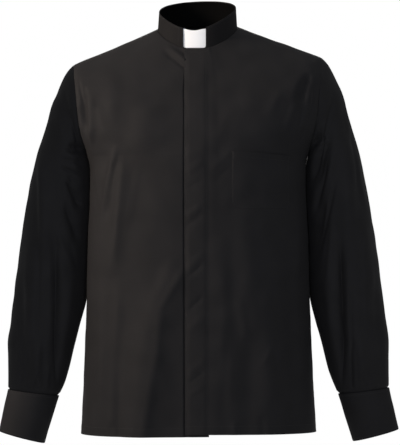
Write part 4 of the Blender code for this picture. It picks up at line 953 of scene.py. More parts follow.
def inset(grid, normals, amounts, around=False):
    """Moves the edges of a panel inwards, each side of the panel by its own amount."""
    result = grid.copy()
    rows, columns = grid.shape[:2]
    for walk in border(rows, columns, around):
        count = len(walk)
        for k, ((r, c), side) in enumerate(walk):
            before, side_before = walk[k - 1]
            after, _ = walk[(k + 1) % count]
            point = grid[r, c]
            pulls = []
            for end, name, sign in ((before, side_before, -1), (after, side, 1)):
                run = (grid[end] - point) * sign
                turn = np.cross(normals[r, c], run)
                turn /= np.linalg.norm(turn)
                amount = amounts.get(name, 0.0)
                pulls.append((turn, amount((r, c)) if callable(amount) else amount))
            result[r, c] += corner_move(grid, (r, c), pulls, around)
    return result


def corner_move(grid, place, pulls, around):
    """The move that takes a corner point in from both of its edges."""
    r, c = place
    rows, columns = grid.shape[:2]
    inner_r = min(max(r, 1), rows - 2)
    inner_c = c if around else min(max(c, 1), columns - 2)
    to_inside = grid[inner_r, inner_c] - grid[r, c]
    (first, a), (second, b) = pulls
    first = first if first @ to_inside > 0 else -first
    second = second if second @ to_inside > 0 else -second
    both = first @ second
    if abs(both) > NEARLY_STRAIGHT:
        return (first * a + second * b) / 2
    return (first * (a - b * both) + second * (b - a * both)) / (1 - both * both)


def tuck_height(angles):
    """How far below the base, as a share of the collar's height, its lower edge lies."""
    base, top = neck_heights(angles)
    return -COLLAR_TUCK / (top - base)


def band_depth(angles):
    """The neckband stands further in behind the tab and lies against the collar elsewhere."""
    from_front = np.abs((angles + 180) % 360 - 180)
    behind_tab = 1 - ease((from_front - TAB_REACH - BEHIND_TAB_FROM) / BEHIND_TAB_OVER)
    close = COLLAR_CLOTH + GAP + COLLAR_CLOTH / 2
    return -(close + (TAB_SHEET + GAP) * behind_tab)


def bumps_at(points):
    """Smooth noise at each point."""
    values = [noise.noise(Vector(point)) for point in points.reshape(-1, 3)]
    return np.array(values).reshape(points.shape[:-1])


def waves_at(places, seed):
    """Smooth waves along a line, the same for every place that is the same way along it."""
    return bumps_at(np.stack([places, np.full(places.shape, seed), np.zeros(places.shape)], axis=-1))


def levels_of(zs):
    return [(z - BODY[0].z) / (BODY[-1].z - BODY[0].z) for z in zs]


def front_levels():
    above = [1 + k / ARMHOLE_ROWS for k in range(1, ARMHOLE_ROWS + 1)]
    return levels_of(BODY_ROWS) + above + [2 + k / NECK_ROWS for k in range(1, NECK_ROWS + 1)]


def back_levels():
    return levels_of(BODY_ROWS) + [1 + k / BACK_ARMHOLE_ROWS for k in range(1, BACK_ARMHOLE_ROWS + 1)]


def rumpled(grid, normals, around=False):
    """Adds a faint unevenness that dies away at the panel's edges."""
    rows, columns = grid.shape[:2]
    r = np.arange(rows)
    calm = ease(np.minimum(r, rows - 1 - r) / RUMPLE_CALM)[:, None]
    if not around:
        c = np.arange(columns)
        calm = calm * ease(np.minimum(c, columns - 1 - c) / RUMPLE_CALM)
    return moved(grid, normals, bumps_at(grid / RUMPLE_SIZE) * RUMPLE * calm)


def edge_line(grid, side):
    """The grid turned so that the wanted edge is its first row."""
    if side.endswith("column"):
        grid = np.swapaxes(grid, 0, 1)
    return grid[::-1] if side.startswith("last") else grid


def turned_back(grid, side):
    """Undoes edge_line."""
    if side.startswith("last"):
        grid = grid[::-1]
    return np.swapaxes(grid, 0, 1) if side.endswith("column") else grid


def distance_from(grid, side):
    """How far each point lies from one edge of its panel, measured along the grid."""
    return turned_back(run_lengths(edge_line(grid, side)), side)


def nearest_edge(grid, sides=SIDES):
    return np.minimum.reduce([distance_from(grid, side) for side in sides])


def along_edge(grid, side):
    """How far along one edge of its panel each point lies."""
    turned = edge_line(grid, side)
    return turned_back(np.ones((len(turned), 1)) * run_lengths(turned[0]), side)


def edge_loops(sheet, sides=SIDES):
    """Adds lines of points close to the edges of a sheet, so that they can roll. A sheet is a grid with its
    normals."""
    for side in sides:
        both = edge_line(np.concatenate(sheet, axis=-1), side)
        step = np.linalg.norm(both[1, :, :3] - both[0, :, :3], axis=-1, keepdims=True)
        extra = []
        for distance in EDGE_LOOPS:
            share = np.minimum(distance / step, LOOP_SHARE * distance / EDGE_LOOPS[-1])
            extra.append(both[0] + (both[1] - both[0]) * share)
        dense = turned_back(np.concatenate([both[:1], np.array(extra), both[1:]]), side)
        normals = dense[..., 3:]
        sheet = (dense[..., :3], normals / np.linalg.norm(normals, axis=-1, keepdims=True))
    return sheet


def pucker(grid, side, seed, shape=SEAM_PUCKER):
    """Small waves that a line of stitches draws into the cloth beside it."""
    distance = distance_from(grid, side)
    waves = waves_at((along_edge(grid, side) + PUCKER_SLANT * distance) / shape.wave, seed)
    near = distance / PUCKER_PEAK * np.exp(1 - distance / PUCKER_PEAK)
    return shape.deep * waves * near * np.exp(-((distance / shape.reach) ** 2))


def hem_waves(grid):
    """Slanting waves in a hem between its edge and its line of stitches."""
    up = distance_from(grid, "first_row")
    waves = waves_at((along_edge(grid, "first_row") + HEM_SLANT * up) / HEM_WAVE, HEM_SEED)
    calm = ease(up / HEM_WAVE_IN) * ease((HEM + HEM_WAVE_PAST - up) / HEM_WAVE_OUT)
    return HEM_WAVE_DEEP * waves * calm


def groove(distance, at, shape=SEAM_GROOVE):
    """The line that stitches press into the cloth, with the cloth swelling beside it."""
    off = (distance - at) / shape.wide
    swelling = np.exp(-(((np.abs(off) - SWELL_AT) / SWELL_WIDE) ** 2))
    return -shape.deep * np.exp(-(off**2)) + SWELL * shape.deep * swelling


def shell(name, sheet, outer_at, inner_at, material, around, rim):
    """A closed shell of cloth between two offsets of a sheet, with rounded rims. Offsets can vary over it."""
    grid, normals = sheet
    rows, columns = grid.shape[:2]
    facing = own_normals(grid, around) * normals
    slant = np.clip(np.abs(facing.sum(axis=-1)), STEEPEST, 1)
    outer = moved(grid, normals, outer_at / slant)
    inner = moved(grid, normals, inner_at / slant)
    points = [outer.reshape(-1, 3), inner.reshape(-1, 3)]
    total = rows * columns
    lengths = measured(grid, around)
    r, c = quad_corners(rows, columns, around)
    quads = r * columns + c % columns
    faces = [quads, quads[:, ::-1] + total]
    maps = [lengths[r, c], lengths[r, c][:, ::-1]]
    base = 2 * total
    for walk in border(rows, columns, around):
        at = np.array([place for place, _ in walk])
        ahead = at + (0, 1) if around else np.roll(at, -1, axis=0)
        backwards = around and at[0, 0] == rows - 1
        here = at[:, 0] * columns + at[:, 1]
        there = ahead[:, 0] * columns + ahead[:, 1] % columns
        middle = base + np.arange(len(at))
        middle_ahead = base + (np.arange(len(at)) + 1) % len(at)
        edge = (outer[at[:, 0], at[:, 1]] + inner[at[:, 0], at[:, 1]]) / 2
        points.append(edge - rim * inwards(grid, at, around))
        place, place_ahead = lengths[at[:, 0], at[:, 1]], lengths[ahead[:, 0], ahead[:, 1]]
        for near, far, near_ahead, far_ahead in (
            (here, middle, there, middle_ahead),
            (middle, here + total, middle_ahead, there + total),
        ):
            strip = np.stack([near_ahead, near, far, far_ahead], axis=1)
            spots = np.stack([place_ahead, place, place, place_ahead], axis=1)
            faces.append(strip[:, ::-1] if backwards else strip)
            maps.append(spots[:, ::-1] if backwards else spots)
        base += len(at)
    faces, maps = np.concatenate(faces), np.concatenate(maps)
    if facing.sum() <= 0:
        faces, maps = faces[:, ::-1], maps[:, ::-1]
    return finished(name, np.concatenate(points), faces.tolist(), material, maps)


def quad_corners(rows, columns, around):
    """Rows and columns of the corners of a grid's quads. Past the last column comes the first again."""
    reach = columns if around else columns - 1
    r, c = np.meshgrid(np.arange(rows - 1), np.arange(reach), indexing="ij")
    r, c = r.ravel(), c.ravel()
    return np.stack([r, r, r + 1, r + 1], axis=1), np.stack([c, c + 1, c + 1, c], axis=1)


def inwards(grid, at, around):
    """Unit vectors from edge points of a grid towards its middle."""
    rows, columns = grid.shape[:2]
    r = np.clip(at[:, 0], 1, rows - 2)
    c = at[:, 1] if around else np.clip(at[:, 1], 1, columns - 2)
    way = grid[r, c] - grid[at[:, 0], at[:, 1]]
    return way / np.maximum(np.linalg.norm(way, axis=1, keepdims=True), 1e-6)


def measured(grid, around=False):
    """Lengths in metres along the rows and columns of a grid, for the weave."""
    if around:
        grid = np.concatenate([grid, grid[:, :1]], axis=1)
    across = np.linalg.norm(np.diff(grid, axis=1), axis=-1)
    across = np.concatenate([np.zeros((len(grid), 1)), np.cumsum(across, axis=1)], axis=1)
    across -= across.mean(axis=1, keepdims=True)
    up = np.linalg.norm(np.diff(grid, axis=0), axis=-1).mean(axis=1)
    up = np.concatenate([[0], np.cumsum(up)])[:, None] * np.ones(grid.shape[1])
    return np.stack([across, up], axis=-1) * MM


def finished(name, points, faces, material, maps=None):
    """Makes the object, with a map in metres for the weave, and puts it on the part's body."""
    mesh = bpy.data.meshes.new(name)
    mesh.from_pydata((points * MM).tolist(), [], faces)
    mesh.polygons.foreach_set("use_smooth", [True] * len(mesh.polygons))
    mesh.materials.append(material)
    if maps is not None:
        layer = mesh.uv_layers.new(name="weave")
        layer.uv.foreach_set("vector", maps.astype(np.float32).ravel())
    piece = bpy.data.objects.new(name, mesh)
    bpy.context.scene.collection.objects.link(piece)
    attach(piece, "root")
    return piece


def placed(name, mesh):
    """Makes an object of a bmesh and puts it in the scene."""
    data = bpy.data.meshes.new(name)
    mesh.to_mesh(data)
    mesh.free()
    thing = bpy.data.objects.new(name, data)
    bpy.context.scene.collection.objects.link(thing)
    return thing


def dress(node, sheet, outer, inner, material, rim=RIM, shape=None):
    """The cloth that takes a node's place. Shape is a last change to its mesh. Returns its outer surface as a
    sheet."""
    grid, normals = sheet
    tab = node == "collar_tab"
    around = node in ("sleeve_left", "sleeve_right")
    piece = shell("tab" if tab else f"{node}_cloth", sheet, outer, inner, material, around, rim)
    if shape is not None:
        shape(piece)
    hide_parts(node)
    return moved(grid, normals, outer), normals


def sampled(grid, rows_at, columns_at):
    """Points of a grid at places between its own rows and columns."""
    r = np.clip(rows_at, 0, grid.shape[0] - 1.001)
    c = np.clip(columns_at, 0, grid.shape[1] - 1.001)
    i, j = r.astype(int), c.astype(int)
    a, b = (r - i)[..., None], (c - j)[..., None]
    low = grid[i, j] * (1 - b) + grid[i, j + 1] * b
    high = grid[i + 1, j] * (1 - b) + grid[i + 1, j + 1] * b
    return low * (1 - a) + high * a


def line_inside(sheet, side, distance):
    """A line on a panel that runs beside one of its edges, with the normals along it."""
    turned, facing = (edge_line(grid, side) for grid in sheet)
    far = run_lengths(turned)
    after = np.clip((far < distance).sum(axis=0), 1, len(turned) - 1)
    k = np.arange(turned.shape[1])
    share = ((distance - far[after - 1, k]) / (far[after, k] - far[after - 1, k]))[:, None]
    return tuple(grid[after - 1, k] * (1 - share) + grid[after, k] * share for grid in (turned, facing))


def lines_inside(sheet, sides, distance):
    return [line_inside(sheet, side, distance) for side in sides]


def kept(line_and_ways, wanted):
    """The part of a line whose points are wanted."""
    chosen = wanted(line_and_ways[0])
    return tuple(values[chosen] for values in line_and_ways)


def stitch_points(line, ways):
    """The ends and middles of the stitches along a line, and the way that each faces."""
    far = run_lengths(line)
    count = int(far[-1] / (STITCH + STITCH_GAP))
    start = np.arange(count) * (STITCH + STITCH_GAP) + STITCH_GAP
    places = np.stack([start, start + STITCH / 2, start + STITCH], axis=1)
    way = read_along(places[:, 1], far, ways)
    return read_along(places, far, line), way / np.linalg.norm(way, axis=1, keepdims=True)


def stitches(name, lines):
    """Rows of stitches: short threads whose ends dip into the cloth. Lines is a list of (points, normals)."""
    turns = 2 * pi * np.arange(THREAD_SIDES) / THREAD_SIDES
    points, faces = [], []
    base = 0
    for line, ways in lines:
        at, way = stitch_points(line, ways)
        run = at[:, 2] - at[:, 0]
        run /= np.linalg.norm(run, axis=1, keepdims=True)
        across = np.cross(run, way)
        spokes = np.cos(turns)[:, None] * across[:, None] + np.sin(turns)[:, None] * way[:, None]
        rings = [at[:, None, k] + spokes * size + way[:, None] * lift for k, size, lift in THREAD_RINGS]
        points.append(np.stack(rings, axis=1).reshape(-1, 3))
        for _ in range(len(at)):
            loops = base + np.arange(3 * THREAD_SIDES).reshape(3, THREAD_SIDES)
            for low, high in zip(loops, loops[1:]):
                faces += np.stack([low, np.roll(low, -1), np.roll(high, -1), high], axis=1).tolist()
            faces += [loops[0][::-1].tolist(), loops[2].tolist()]
            base += 3 * THREAD_SIDES
    piece = finished(name, np.concatenate(points), faces, bpy.data.materials["thread"])


def front_right_grid():
    """The right front, with a furrow where the edge of the fly lies on it."""
    grid = half_front(RIGHT_COLUMNS, -1, FRONT_FOLDS)
    off = np.array(RIGHT_COLUMNS) - FLY_EDGE
    furrow = -FURROW * np.where(off > 0, np.exp(-((off / FURROW_WIDE) ** 2)), 1)
    furrow = furrow * ease((off + FURROW_FROM) / FURROW_OVER)
    return moved(grid, faced_out(grid, BODY_MIDDLE), furrow * np.ones(grid.shape[:2]))


def panel_grids():
    """Fine grids of the fronts, back, yoke and sleeves, with the normals that they share."""
    left_folds = (LEFT_SLEEVE_FRONT_FOLDS, SLEEVE_BACK_FOLDS)
    fine_left_folds = (FINE_LEFT_SLEEVE_FOLDS, FINE_SLEEVE_BACK_FOLDS)
    right_folds = (RIGHT_SLEEVE_FRONT_FOLDS, mirrored_folds(SLEEVE_BACK_FOLDS))
    fine_right_folds = (FINE_RIGHT_SLEEVE_FOLDS, mirrored_folds(FINE_SLEEVE_BACK_FOLDS))
    grids = {
        "front_left": front_left_grid(),
        "front_right": front_right_grid(),
        "back": back_grid(),
        "yoke": yoke_grid(),
        "sleeve_left": sleeve_grid(1, left_folds, fine_left_folds),
        "sleeve_right": sleeve_grid(-1, right_folds, fine_right_folds),
    }
    pairs = []
    for name, grid in grids.items():
        around = name.startswith("sleeve")
        grid = lean(grid)
        normals = faced_out(grid, grid.mean(axis=1, keepdims=True) if around else BODY_MIDDLE, around)
        pairs.append((rumpled(grid, normals, around), normals))
    panels = {}
    for name, (grid, own), (normals, folded) in zip(grids, pairs, shared_normals(pairs)):
        if name.startswith("sleeve"):
            grid = moved(grid, own, -FOLDED_SEAM * folded)
        panels[name] = (grid, normals)
    return panels


def side_seam(place):
    """How far each side of the side seam is taken in. It stands open at the vent."""
    z = BODY_ROWS[place[0]] if place[0] < len(BODY_ROWS) else 0
    return GAP / 2 + VENT_OPEN * ease((VENT_TOP - z) / (VENT_TOP - BODY_ROWS[0]))


def heights(low, high):
    return lambda points: (points[:, 2] > low) & (points[:, 2] < high)


def stitch_grooves(name, grid):
    """The lines that the stitches of the fly and of the yoke press into their panels."""
    if name == "front_left":
        near = distance_from(grid, "first_column")
        below_collar = ease((FLY_STITCH_TOP - grid[..., 2]) / FLY_STITCH_FADE)
        return groove(near, FLY_EDGE_STITCH) + groove(near, FLY_EDGE + FLY_STITCH) * below_collar
    if name == "yoke":
        return sum(groove(distance_from(grid, side), YOKE_STITCH) for side in SEWING[name].seams)
    return 0


def build_panel(name, sheet, cloth):
    """One panel of the body or a sleeve, sewn as SEWING says. Returns its outer surface as a sheet."""
    sewing = SEWING[name]
    around = name.startswith("sleeve")
    grid, normals = sheet
    gaps = {side: side_seam for side in sewing.side_seams} | {side: SEAM_GAP for side in sewing.seams}
    sheet = edge_loops((inset(grid, normals, gaps, around), normals), SIDES[:2] if around else SIDES)
    grid, normals = sheet
    near_seams = [np.exp(-((distance_from(grid, side) / ROLL_WIDE) ** 2)) for side in sewing.puckers]
    outer = OUTER - ROLL * sum(near_seams)
    for side, seed in sewing.puckers.items():
        outer += pucker(grid, side, seed)
    inner = INNER + outer - OUTER
    outer = outer + stitch_grooves(name, grid)
    if sewing.side_seams:
        up = distance_from(grid, "first_row")
        outer += groove(up, HEM, HEM_GROOVE) + hem_waves(grid)
        inner += (HEM_INNER - INNER) * ease(HEM + HEM_STEP - up)
    return dress(name, sheet, outer, inner, cloth)


def build_body(panels, cloth):
    """The body's panels and the sleeves, with their stitches. Returns the outer surface of each."""
    made = {name: build_panel(name, sheet, cloth) for name, sheet in panels.items()}
    front, yoke = made["front_left"], made["yoke"]
    fly_line = line_inside(front, "first_column", FLY_EDGE + FLY_STITCH)
    collar_line = line_inside(front, "last_row", NECK_STITCH)
    back_seam = line_inside(yoke, "first_row", YOKE_STITCH)
    lines = {
        "fly": [
            line_inside(front, "first_column", FLY_EDGE_STITCH),
            kept(fly_line, lambda line: line[:, 2] < FLY_STITCH_TOP),
        ],
        "hems": [line_inside(made[name], "first_row", HEM) for name in ("front_left", "front_right", "back")],
        "yoke": lines_inside(yoke, ("first_column", "last_column"), YOKE_STITCH)
        + [kept(back_seam, lambda line: line[:, 1] > BACK_SEAM_FROM)],
        "neck": [kept(collar_line, lambda line: line[:, 0] < NECK_STITCH_TO)],
    }
    for name, rows in lines.items():
        stitches(f"{name}_stitches", rows)
    return made


def pocket_sheet(panel):
    """The pocket's patch of the left front's surface, with rounded lower corners and a mouth that droops."""
    surface, normals = panel
    across = np.linspace(-1, 1, POCKET_COLUMNS)
    x = np.linspace(POCKET_INNER, POCKET_OUTER, POCKET_COLUMNS)
    half = (POCKET_OUTER - POCKET_INNER) / 2
    into_corner = np.maximum(POCKET_CORNER - half * (1 - np.abs(across)), 0)
    foot = POCKET_FOOT_Z + POCKET_CORNER - np.sqrt(POCKET_CORNER**2 - into_corner**2)
    mouth = POCKET_MOUTH_INNER + (POCKET_MOUTH_OUTER - POCKET_MOUTH_INNER) * (across + 1) / 2
    z = foot + (mouth - foot) * np.linspace(0, 1, POCKET_ROWS)[:, None]
    columns_at = np.interp(x, FRONT_REFERENCES, np.arange(len(FRONT_REFERENCES)))
    rows_at = np.zeros_like(z)
    for k, at in enumerate(columns_at):
        profile = surface[:, int(round(at)), 2]
        rising = np.argsort(profile)
        rows_at[:, k] = np.interp(z[:, k], profile[rising], rising)
    columns_at = np.ones((POCKET_ROWS, 1)) * columns_at
    return sampled(surface, rows_at, columns_at), sampled(normals, rows_at, columns_at)


def build_pocket(panel, cloth):
    sheet = edge_loops(pocket_sheet(panel))
    grid = sheet[0]
    near = nearest_edge(grid, POCKET_SEEDS)
    mouth = distance_from(grid, "last_row")
    across = np.linspace(0, 1, grid.shape[1])
    gape = MOUTH_GAPE * np.sin(pi * across) ** MOUTH_GAPE_FULL * np.exp(-((mouth / MOUTH_GAPE_TALL) ** 2))
    outer = POCKET_FACE - POCKET_EDGE_DROP * np.exp(-((near / POCKET_EDGE_WIDE) ** 2)) + gape
    outer += groove(near, POCKET_STITCH, POCKET_EDGE_GROOVE) + groove(mouth, POCKET_HEM, POCKET_HEM_GROOVE)
    for side, seed in POCKET_SEEDS.items():
        outer += pucker(grid, side, seed, POCKET_PUCKER)
    surface = dress("pocket", sheet, outer, PATCH_INNER + gape, cloth, PATCH_RIM)
    rows = lines_inside(surface, POCKET_SEEDS, POCKET_STITCH) + [line_inside(surface, "last_row", POCKET_HEM)]
    stitches("pocket_stitches", rows)


def collar_sheet(angles, low, high, rows, out):
    """A band of the collar between two heights, which can change with the angle."""
    grid = lean(np.array([neck_point(angles, low + (high - low) * k, out) for k in np.linspace(0, 1, rows)]))
    middle = lean(np.array([0, NECK_MIDDLE_Y, 0]) * np.ones_like(grid))
    middle[..., 2] = grid[..., 2]
    return edge_loops((grid, faced_out(grid, middle)))


def build_collar(cloth):
    """The collar, with the tab's window cut in its front."""
    angles = np.linspace(COLLAR_SLIT + SLIT_HALF, 360 + COLLAR_SLIT - SLIT_HALF, COLLAR_COLUMNS)
    sheet = collar_sheet(angles, tuck_height(angles), 1.0, COLLAR_ROWS, -COLLAR_CLOTH / 2)
    half = rounded(sheet[0], COLLAR_CLOTH / 2)
    outer = half + groove(distance_from(sheet[0], "last_row"), COLLAR_STITCH, COLLAR_GROOVE)
    surface = dress("collar", sheet, outer, -half, cloth, COLLAR_RIM, cut_window)
    edge = kept(line_inside(surface, "last_row", COLLAR_STITCH), outside_window)
    stitches("collar_stitches", [edge] + window_lines(*surface))


def rounded(grid, half):
    """Half the thickness of a piece whose edges are round."""
    return half * np.sqrt(1 - EDGE_ROUND * np.clip(1 - nearest_edge(grid) / half, 0, 1) ** 2)


def outside_window(line):
    x, y = line[:, 0], line[:, 1]
    return (y > 0) | (x < TAB_LEFT - WINDOW_MARGIN) | (x > TAB_RIGHT + WINDOW_MARGIN)


def window_lines(surface, normals):
    """Two lines of stitches beside the window, on the wearer's right."""
    middle = surface[len(surface) // 2]
    at_back = np.where(middle[:, 1] < 0, 0, np.inf)
    lines = []
    for x in WINDOW_STITCHES:
        k = int(np.argmin(np.abs(middle[:, 0] - x) + at_back))
        lines.append(kept((surface[:, k], normals[:, k]), heights(NECK_LINE_Z, WINDOW_STITCH_TOP)))
    return lines


def window_cutter():
    """A block with rounded lower edges, in the place of the tab's window."""
    mesh = bmesh.new()
    bmesh.ops.create_cube(mesh, size=1.0)
    sizes = ((TAB_RIGHT - TAB_LEFT) * MM, WINDOW_DEEP * MM, WINDOW_TALL * MM)
    bmesh.ops.scale(mesh, vec=sizes, verts=mesh.verts[:])
    place = ((TAB_LEFT + TAB_RIGHT) / 2, NECK_MIDDLE_Y - NECK_DEEP, TAB_FOOT + WINDOW_TALL / 2)
    bmesh.ops.translate(mesh, vec=Vector(place) * MM, verts=mesh.verts[:])
    foot = [e for e in mesh.edges if all(v.co.z < (TAB_FOOT + 1) * MM for v in e.verts)]
    lower = [e for e in foot if abs(e.verts[0].co.x - e.verts[1].co.x) < 1e-6]
    bmesh.ops.bevel(mesh, geom=lower, offset=TAB_CORNER * MM, segments=8, profile=0.5, affect="EDGES")
    return placed("tab_window", mesh)


def cut_window(piece):
    cutter = window_cutter()
    cut = piece.modifiers.new("window", "BOOLEAN")
    cut.operation = "DIFFERENCE"
    cut.solver = "EXACT"
    cut.object = cutter
    graph = bpy.context.evaluated_depsgraph_get()
    opened = bpy.data.meshes.new_from_object(piece.evaluated_get(graph), depsgraph=graph)
    piece.modifiers.clear()
    piece.data = opened
    bpy.data.objects.remove(cutter)
    crease = piece.modifiers.new("crease", "BEVEL")
    crease.width = 0.25 * MM
    crease.segments = 2
    crease.limit_method = "ANGLE"
    crease.angle_limit = radians(60)
    crease.harden_normals = False


def build_neckband(cloth):
    angles = np.linspace(NECKBAND_FROM, NECKBAND_TO, NECKBAND_COLUMNS)
    under_lap = 1 - ease((angles - NECKBAND_FROM) / NECKBAND_LAP)
    out = band_depth(angles) - (COLLAR_CLOTH + GAP) * under_lap
    sheet = collar_sheet(angles, tuck_height(angles), NECKBAND_TOP, NECKBAND_ROWS, out)
    half = rounded(sheet[0], COLLAR_CLOTH / 2)
    inner = -half - groove(distance_from(sheet[0], "last_row"), COLLAR_STITCH, NECKBAND_GROOVE)
    dress("neckband", sheet, half, inner, cloth, COLLAR_RIM)


def build_tab(white):
    angles = np.linspace(-TAB_REACH, TAB_REACH, TAB_COLUMNS)
    middle = degrees(atan((TAB_LEFT + TAB_RIGHT) / 2 / NECK_DEEP))
    top = TAB_TOP - (1 - TAB_TOP_SIDES) * ease((np.abs(angles - middle) - TAB_DROP_FROM) / TAB_DROP_OVER)
    sheet = collar_sheet(angles, TAB_LOW, top, TAB_ROWS, -(COLLAR_CLOTH + GAP + TAB_SHEET / 2))
    half = rounded(sheet[0], TAB_SHEET / 2)
    dress("collar_tab", sheet, half, -half, white, TAB_RIM)


def build_cuff(word, side, cloth):
    """A stiff band round the wrist whose ends overlap at the back, with the lap outside."""
    top = station_at(1.0)
    turn = np.linspace(0, 1, CUFF_COLUMNS)
    lap_angle = CUFF_LAP / CUFF_MEAN_RADIUS
    angles = radians(CUFF_SPLIT) + lap_angle / 2 - (2 * pi + lap_angle) * turn
    over = ease((turn - 1 + LAP_AT + LAP_OVER) / LAP_OVER)
    under = 1 - ease((turn - LAP_AT) / LAP_OVER)
    out = (CUFF_CLOTH + GAP) / 2 * (over - under)
    rows = []
    for t in np.linspace(0, 1, CUFF_ROWS):
        station = between(top, CUFF_FOOT, t)
        rows.append(station_ring(station, angles) + out[:, None] * ring_outwards(station, angles))
    grid = lean(np.array(rows) * (side, 1, 1))
    sheet = edge_loops((grid, faced_out(grid, grid[:, :-2].mean(axis=1, keepdims=True))))
    grid = sheet[0]
    half = rounded(grid, CUFF_CLOTH / 2)
    bumps = CUFF_RUMPLE * bumps_at(grid / CUFF_RUMPLE_SIZE)
    outer = half + bumps
    for edge in SIDES:
        outer += groove(distance_from(grid, edge), CUFF_STITCH, CUFF_GROOVE)
        outer += pucker(grid, edge, side * CUFF_SEED, CUFF_PUCKER)
    surface = dress(f"cuff_{word}", sheet, outer, bumps - half, cloth, CUFF_RIM)
    return lines_inside(surface, SIDES, CUFF_STITCH)


def build_placket(word, panel, cloth):
    """A strip over the slit above the cuff, made from the sleeve's own surface."""
    stations = np.linspace(PLACKET_FROM, PLACKET_TO, PLACKET_ROWS)
    rows_at = np.interp(stations, SLEEVE_ROWS, EDGE_ROWS + np.arange(len(SLEEVE_ROWS)))
    columns_at = np.linspace(*PLACKET_TURN, PLACKET_COLUMNS) * panel[0].shape[1]
    rows_at, columns_at = np.meshgrid(rows_at, columns_at, indexing="ij")
    sheet = edge_loops([sampled(grid, rows_at, columns_at) for grid in panel])
    near = nearest_edge(sheet[0])
    outer = PLACKET_FACE - PLACKET_EDGE_DROP * np.exp(-((near / PLACKET_EDGE_WIDE) ** 2))
    outer = outer + groove(near, POCKET_STITCH)
    inner = np.full(outer.shape, PATCH_INNER)
    surface = dress(f"sleeve_placket_{word}", sheet, outer, inner, cloth, PATCH_RIM)
    return lines_inside(surface, SIDES, POCKET_STITCH)


def plug(tree, socket, value):
    """Gives a socket a plain value or the output of another node."""
    if isinstance(value, bpy.types.NodeSocket):
        tree.links.new(value, socket)
    else:
        socket.default_value = value


def add_node(tree, kind, **inputs):
    """Adds a shader node. Its inputs are named with _ for a space."""
    node = tree.nodes.new(f"ShaderNode{kind}")
    for name, value in inputs.items():
        plug(tree, node.inputs[name.replace("_", " ")], value)
    return node


def math_node(tree, operation, *values):
    node = tree.nodes.new("ShaderNodeMath")
    node.operation = operation
    for socket, value in zip(node.inputs, values):
        plug(tree, socket, value)
    return node.outputs[0]


def new_material(name):
    material = bpy.data.materials.new(name)
    material.use_nodes = True
    return material, material.node_tree


def cloth_material(name, look):
    """Fine plain-woven cloth: a little uneven in tone, with its weave and slubs as bump."""
    material, tree = new_material(name)
    shader = tree.nodes["Principled BSDF"]
    shader.inputs["Roughness"].default_value = look.roughness
    shader.inputs["Specular IOR Level"].default_value = look.specular
    shader.inputs["Sheen Weight"].default_value = look.sheen
    shader.inputs["Sheen Roughness"].default_value = 0.6
    place = add_node(tree, "TexCoord").outputs["Object"]
    cloud = add_node(tree, "TexNoise", Scale=22.0, Detail=4.0, Vector=place).outputs["Fac"]
    tone = add_node(tree, "MapRange", From_Min=0.3, From_Max=0.7, To_Min=0.9, To_Max=1.1, Value=cloud)
    shade = add_node(tree, "HueSaturation", Color=(*look.colour, 1), Value=tone.outputs["Result"])
    plug(tree, shader.inputs["Base Color"], shade.outputs["Color"])
    weave = add_node(tree, "UVMap")
    weave.uv_map = "weave"
    apart = add_node(tree, "SeparateXYZ", Vector=weave.outputs["UV"])
    turns = [math_node(tree, "MULTIPLY", apart.outputs[axis], 2 * pi / THREAD_PITCH) for axis in "XY"]
    crossing = math_node(tree, "MULTIPLY", *(math_node(tree, "SINE", turn) for turn in turns))
    slubs = add_node(tree, "TexNoise", Scale=900.0, Detail=2.0, Vector=place).outputs["Fac"]
    height = math_node(tree, "ADD", math_node(tree, "MULTIPLY", crossing, 0.35), slubs)
    bump = add_node(tree, "Bump", Strength=0.35, Distance=0.00012, Height=height)
    plug(tree, shader.inputs["Normal"], bump.outputs["Normal"])
    return material


def smooth_material(name, look):
    """Plastic or thread, with a faint grain in its shine."""
    material, tree = new_material(name)
    shader = tree.nodes["Principled BSDF"]
    shader.inputs["Base Color"].default_value = (*look.colour, 1)
    place = add_node(tree, "TexCoord").outputs["Object"]
    cloud = add_node(tree, "TexNoise", Scale=look.grain, Vector=place).outputs["Fac"]
    low, high = look.roughness - GRAIN_SHINE, look.roughness + GRAIN_SHINE
    rough = add_node(tree, "MapRange", To_Min=low, To_Max=high, Value=cloud)
    plug(tree, shader.inputs["Roughness"], rough.outputs["Result"])
    return material


def build_world():
    """A white room, brighter to look at than the light it gives."""
    world = bpy.data.worlds.new("studio")
    bpy.context.scene.world = world
    world.use_nodes = True
    tree = world.node_tree
    seen = add_node(tree, "LightPath").outputs["Is Camera Ray"]
    bright = add_node(tree, "MapRange", To_Min=WORLD_LIGHT, To_Max=1.0, Value=seen)
    plug(tree, tree.nodes["Background"].inputs["Strength"], bright.outputs["Result"])
    plug(tree, tree.nodes["Background"].inputs["Color"], (1, 1, 1, 1))


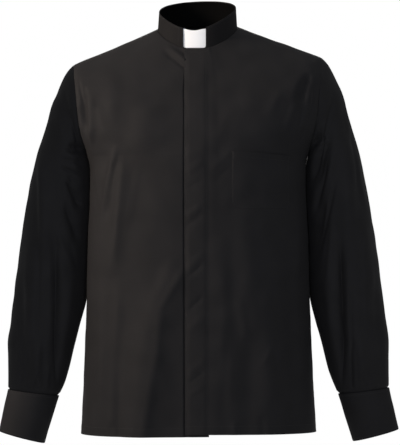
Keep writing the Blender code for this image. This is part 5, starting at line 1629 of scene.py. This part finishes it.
def area_light(lamp, only):
    """A round light. Only is the collection that it falls on, or None for all."""
    light = bpy.data.lights.new(lamp.name, "AREA")
    light.shape = "DISK"
    light.size = lamp.size
    light.energy = lamp.watts
    light.color = lamp.colour
    light.spread = radians(lamp.spread)
    piece = bpy.data.objects.new(lamp.name, light)
    piece.location = lamp.place
    piece.rotation_mode = "QUATERNION"
    piece.rotation_quaternion = (Vector(lamp.aim) - Vector(lamp.place)).to_track_quat("-Z", "Y")
    bpy.context.scene.collection.objects.link(piece)
    if only is not None:
        piece.light_linking.receiver_collection = only
        piece.light_linking.blocker_collection = only
    piece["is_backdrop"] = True


def build_stage():
    """A white room with a pale floor, a warm key light on the body from the front left and a soft fill."""
    build_world()
    mesh = bmesh.new()
    bmesh.ops.create_circle(mesh, cap_ends=True, segments=96, radius=FLOOR_RADIUS)
    bmesh.ops.translate(mesh, vec=(0, 0, FLOOR_Z), verts=mesh.verts[:])
    floor = placed("floor", mesh)
    floor.data.materials.append(smooth_material("floor", FLOOR_LOOK))
    floor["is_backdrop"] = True
    body = bpy.data.collections.new("body")
    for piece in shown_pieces():
        if not piece.name.startswith(("sleeve", "cuff_left")):
            body.objects.link(piece)
    for lamp in LAMPS:
        area_light(lamp, body if lamp.name == "key" else None)


def build_camera():
    bpy.context.scene.view_settings.view_transform = "Standard"
    camera = bpy.data.cameras.new("camera")
    camera.lens = LENS
    camera.sensor_width = SENSOR
    camera.clip_end = 30.0
    eye = bpy.data.objects.new("camera", camera)
    eye.location = (AIM.x, -CAMERA_FAR, AIM.z)
    eye.rotation_euler = (pi / 2, 0, 0)
    bpy.context.scene.collection.objects.link(eye)
    bpy.context.scene.camera = eye


def main():
    cloth, stiff, inside = (cloth_material(name, look) for name, look in CLOTH_LOOKS.items())
    white, _, shiny = (smooth_material(name, look) for name, look in PLAIN_LOOKS.items())
    made = build_body(panel_grids(), cloth)
    build_pocket(made["front_left"], cloth)
    build_collar(stiff)
    # The neckband wears the near-black cloth, whose darkness is painted shade inside the collar.
    build_neckband(inside)
    build_tab(white)
    cuff_lines, placket_lines = [], []
    for word, side in (("left", 1), ("right", -1)):
        cuff_lines += build_cuff(word, side, cloth)
        placket_lines += build_placket(word, made[f"sleeve_{word}"], cloth)
    stitches("cuff_stitches", cuff_lines)
    stitches("placket_stitches", placket_lines)
    for name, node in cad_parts.items():
        if "button" in name:
            node.data.materials.clear()
            node.data.materials.append(shiny)
    build_camera()
    build_stage()


main()
